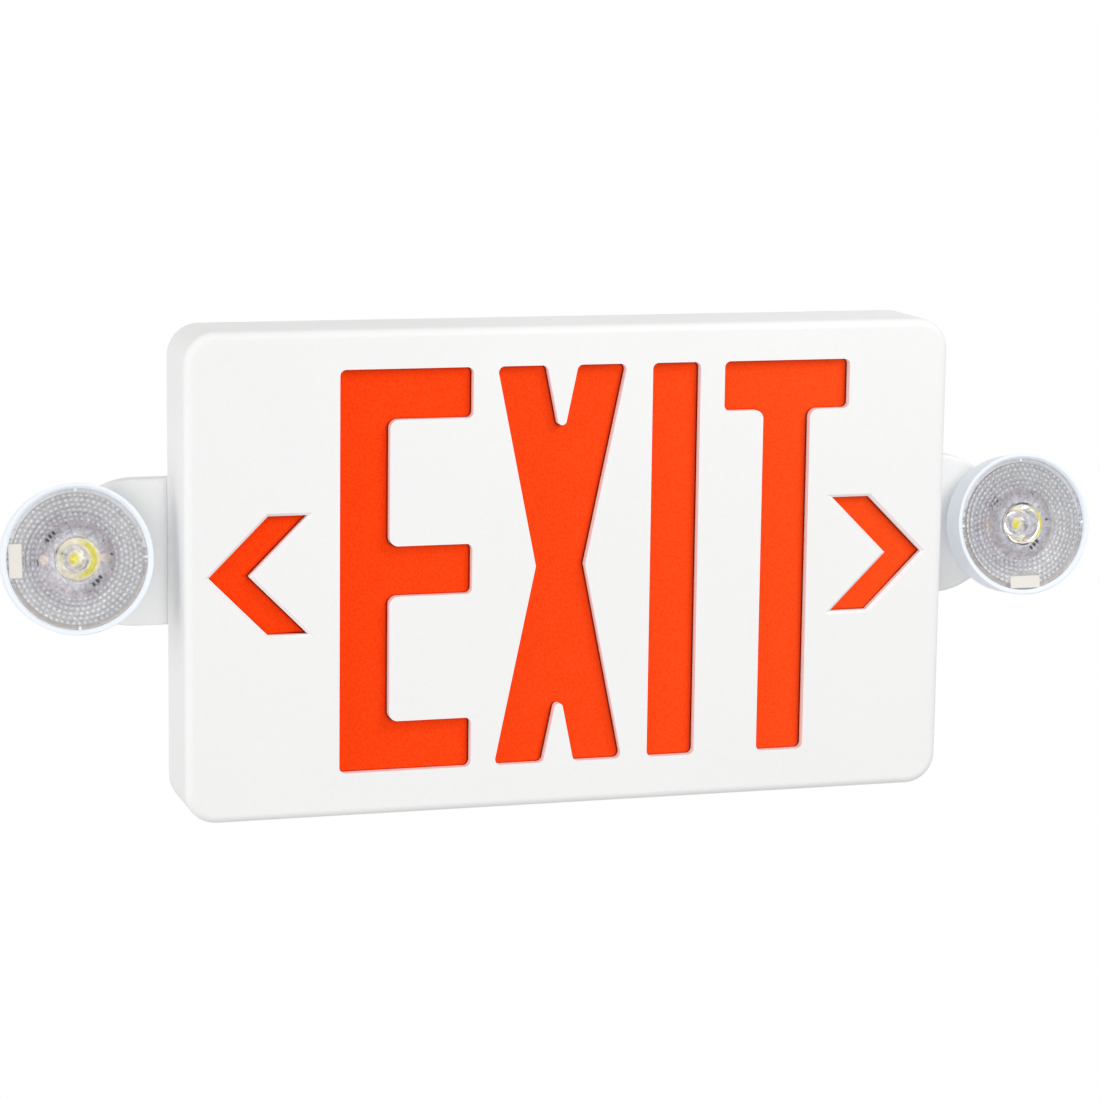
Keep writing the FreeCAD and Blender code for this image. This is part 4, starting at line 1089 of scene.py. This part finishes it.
    def lift(self, ring: Ring, angle: float) -> float:
        """How high a pillow stands at a point of its row.

        Args:
            ring: The ring.
            angle: The point's angle.

        Returns:
            The share of the full height, 0 off the pillows and under the gate.
        """
        if ring.lift is None:
            return 0.0
        along = abs((angle * ring.corners / self.pillow_corners / FULL_TURN) % 1.0 - 0.5) * 2
        ahead, across = math.cos(angle) * ring.radius, math.sin(angle) * ring.radius
        under_gate = ahead > self.plain_from and abs(across) < self.plain_half
        return 0.0 if under_gate else (1 - ring.lift ** 2) * (1 - along ** 2)

    def in_notch(self, angle: float) -> bool:
        """Tells the three notches, a quarter, a half and three quarters round from the gate.

        Args:
            angle: The angle of a point of the rim.

        Returns:
            True in a notch.
        """
        return any(abs(math.remainder(angle - quarter * QUARTER_TURN, FULL_TURN)) * self.lens_radius
                   < self.notch_half for quarter in (1, 2, 3))

    def circle(self, bm: bmesh.types.BMesh, ring: Ring) -> list[bmesh.types.BMVert]:
        """Adds one ring's points.

        Args:
            bm: The lens's mesh.
            ring: The ring.

        Returns:
            The ring's points.
        """
        mark = bm.verts.layers.float["relief"]
        outside = ring.corners == self.outer_corners and ring.radius > self.lens_radius - self.flange
        made = bmesh.ops.create_circle(bm, radius=ring.radius, segments=ring.corners)["verts"]
        for vert in made:
            angle = math.atan2(vert.co.y, vert.co.x)
            lift = self.lift(ring, angle)
            if outside and self.in_notch(angle):
                shrink = min(1.0, (self.lens_radius - self.notch_depth) / ring.radius)
                vert.co.x *= shrink
                vert.co.y *= shrink
            vert.co.z = ring.height - lift * self.pillow_height
            # Marks the lens's painted shade and glints: a pillow's height, else the ring's own share.
            vert[mark] = max(ring.relief, lift)
        return made

    def lens(self) -> None:
        """Builds the lens from rings, joined one after another."""
        bm = bmesh.new()
        bm.verts.layers.float.new("relief")
        before: list[bmesh.types.BMEdge] = []
        loops: list[list[bmesh.types.BMVert]] = []
        for ring in self.eye_rings() + self.edge_rings() + self.pillow_rings() + self.optic_rings():
            loops.append(self.circle(bm, ring))
            edges = ring_edges(loops[-1])
            if len(before) == len(edges):
                bmesh.ops.bridge_loops(bm, edges=before + edges)
            elif before:
                bmesh.ops.triangle_fill(bm, edges=before + edges, use_beauty=True)
            before = edges
        for end in (loops[0], loops[-1]):
            bmesh.ops.contextual_create(bm, geom=end)
        bmesh.ops.recalc_face_normals(bm, faces=bm.faces)
        turn(bm, self.lens_turn)
        self.add(bm, "lens", LENS_CLEAR, Slot.LENS, "lamp_lens")

    def lens_marks(self) -> None:
        """Builds the frosted gate and the keys that sit in the lens's notches."""
        gate = block(self.gate, (self.gate_radius, 0, self.lens_front + self.gate_rise), self.mark_edge)
        turn(gate, self.lens_turn)
        self.add(gate, "lens_gate", GATE_CREAM, Slot.LENS)
        keys = []
        for quarter in (1, 2, 3):
            at = (self.lens_radius - self.key_inset, 0, self.lens_back + self.key_rise)
            keys.append(block(self.key, at, self.mark_edge))
            turn(keys[-1], quarter * QUARTER_TURN)
        whole = merged(keys)
        turn(whole, self.lens_turn)
        self.add(whole, "lens_keys", LAMP_WHITE, Slot.LAMP)

    def led(self) -> None:
        """Builds the LED: a white ceramic base and the dome on it."""
        base = block(self.led_base, (0, 0, self.board_top + self.led_rise), self.led_edge)
        self.add(base, "led_base", LAMP_WHITE, Slot.LED, "lamp_led")
        dome = spun([(radius, self.board_top + rise) for radius, rise in self.dome], 32)
        reach = max(radius for radius, _ in self.dome)
        mark = dome.verts.layers.float.new("core")
        for vert in dome.verts:
            vert[mark] = 1.0 - math.hypot(vert.co.x, vert.co.y) / reach
        self.add(dome, "led_dome", LED_YELLOW, Slot.LED)


# ---------------------------------------------------------------- studio
@dataclass(frozen=True)
class SoftBox:
    """A square studio lamp that points at the sign's middle."""

    name: str
    direction: tuple[float, float, float]
    level: float
    size: float
    distance: float = 1.3
    mirrored: bool = True

    def hang(self) -> None:
        """Hangs the lamp."""
        data = bpy.data.lights.new(self.name, "AREA")
        data.shape = "SQUARE"
        data.size = self.size
        data.energy = self.level * (math.pi * self.distance) ** 2
        away = Vector(self.direction).normalized()
        hung = bpy.data.objects.new(self.name, data)
        aim = away.to_track_quat("Z", "Y").to_matrix().to_4x4()
        hung.matrix_world = Matrix.Translation(away * self.distance) @ aim
        hung.visible_camera = False
        hung.visible_glossy = self.mirrored
        bpy.context.scene.collection.objects.link(hung)


@dataclass
class Studio:
    """A pale floor, soft lights, an even sky and the camera."""

    floor_height: float = -0.75
    floor_size: float = 12.0
    floor_grey: float = 0.62
    sky: float = 0.61
    lamps: tuple[SoftBox, ...] = (
        SoftBox("key_light", (0.48, -0.62, 0.62), 0.30, 0.4, distance=0.95),
        SoftBox("side_light", (-0.95, -0.18, 0.05), 0.30, 0.8),
        SoftBox("front_light", (-0.20, -0.95, -0.05), 0.24, 0.6, mirrored=False),
    )
    camera_at: tuple[float, float, float] = (-0.3936, -1.3143, 0.2331)
    yaw: float = -0.292641793
    pitch: float = 0.168521884
    roll: float = 0.0126383155
    focal_share: float = 3.24275454545
    sensor: float = 36.0

    def build(self) -> None:
        """Builds the world, the floor, the lights and the camera."""
        self.world()
        self.floor()
        for lamp in self.lamps:
            lamp.hang()
        self.camera()

    def world(self) -> None:
        """Makes the sky even: white where it is seen, and weaker where it lights the sign."""
        world = bpy.data.worlds.new("studio sky")
        world.use_nodes = True
        bpy.context.scene.world = world
        nodes = NodeTree(world.node_tree)
        nodes.feed(world.node_tree.nodes["Background"].inputs, {
            "Color": (1.0, 1.0, 1.0),
            "Strength": nodes.math("MULTIPLY_ADD", nodes.seen(), 1.0 - self.sky, self.sky),
        })

    def floor(self) -> None:
        """Lays a wide pale floor well below the sign, white where it is seen."""
        bm = bmesh.new()
        bmesh.ops.create_grid(bm, x_segments=1, y_segments=1, size=self.floor_size)
        move(bm, (0, 0, self.floor_height))
        material, nodes, shader = Finish("studio floor", (self.floor_grey,) * 3, 0.9, 0.0).start()
        nodes.blend(nodes.seen(), shader, nodes.add("Emission"))
        place_object(bm, "studio_floor", material)

    def camera(self) -> None:
        """Sets the camera at its viewing angle."""
        level = math.cos(self.pitch)
        back = Vector((math.sin(self.yaw) * level, -math.cos(self.yaw) * level, math.sin(self.pitch)))
        right = (-back).cross(Vector((0, 0, 1))).normalized()
        up = back.cross(right)
        cos, sin = math.cos(self.roll), math.sin(self.roll)
        axes = Matrix((cos * right + sin * up, -sin * right + cos * up, back)).transposed().to_4x4()
        data = bpy.data.cameras.new("camera")
        data.sensor_width = self.sensor
        data.lens = self.focal_share * self.sensor
        camera = bpy.data.objects.new("camera", data)
        camera.matrix_world = Matrix.Translation(self.camera_at) @ axes
        bpy.context.scene.collection.objects.link(camera)
        bpy.context.scene.camera = camera


def main() -> None:
    logging.basicConfig(level=logging.INFO, format="%(name)s %(message)s")
    bpy.context.scene.view_settings.view_transform = "Standard"
    SignFace().build()
    SignBox().build()
    LampHead(Side.LEFT, lens_turn=math.pi).build()
    LampHead(Side.RIGHT, lens_turn=1.5 * math.pi).build()
    Studio().build()


if __name__ == "__main__":
    main()
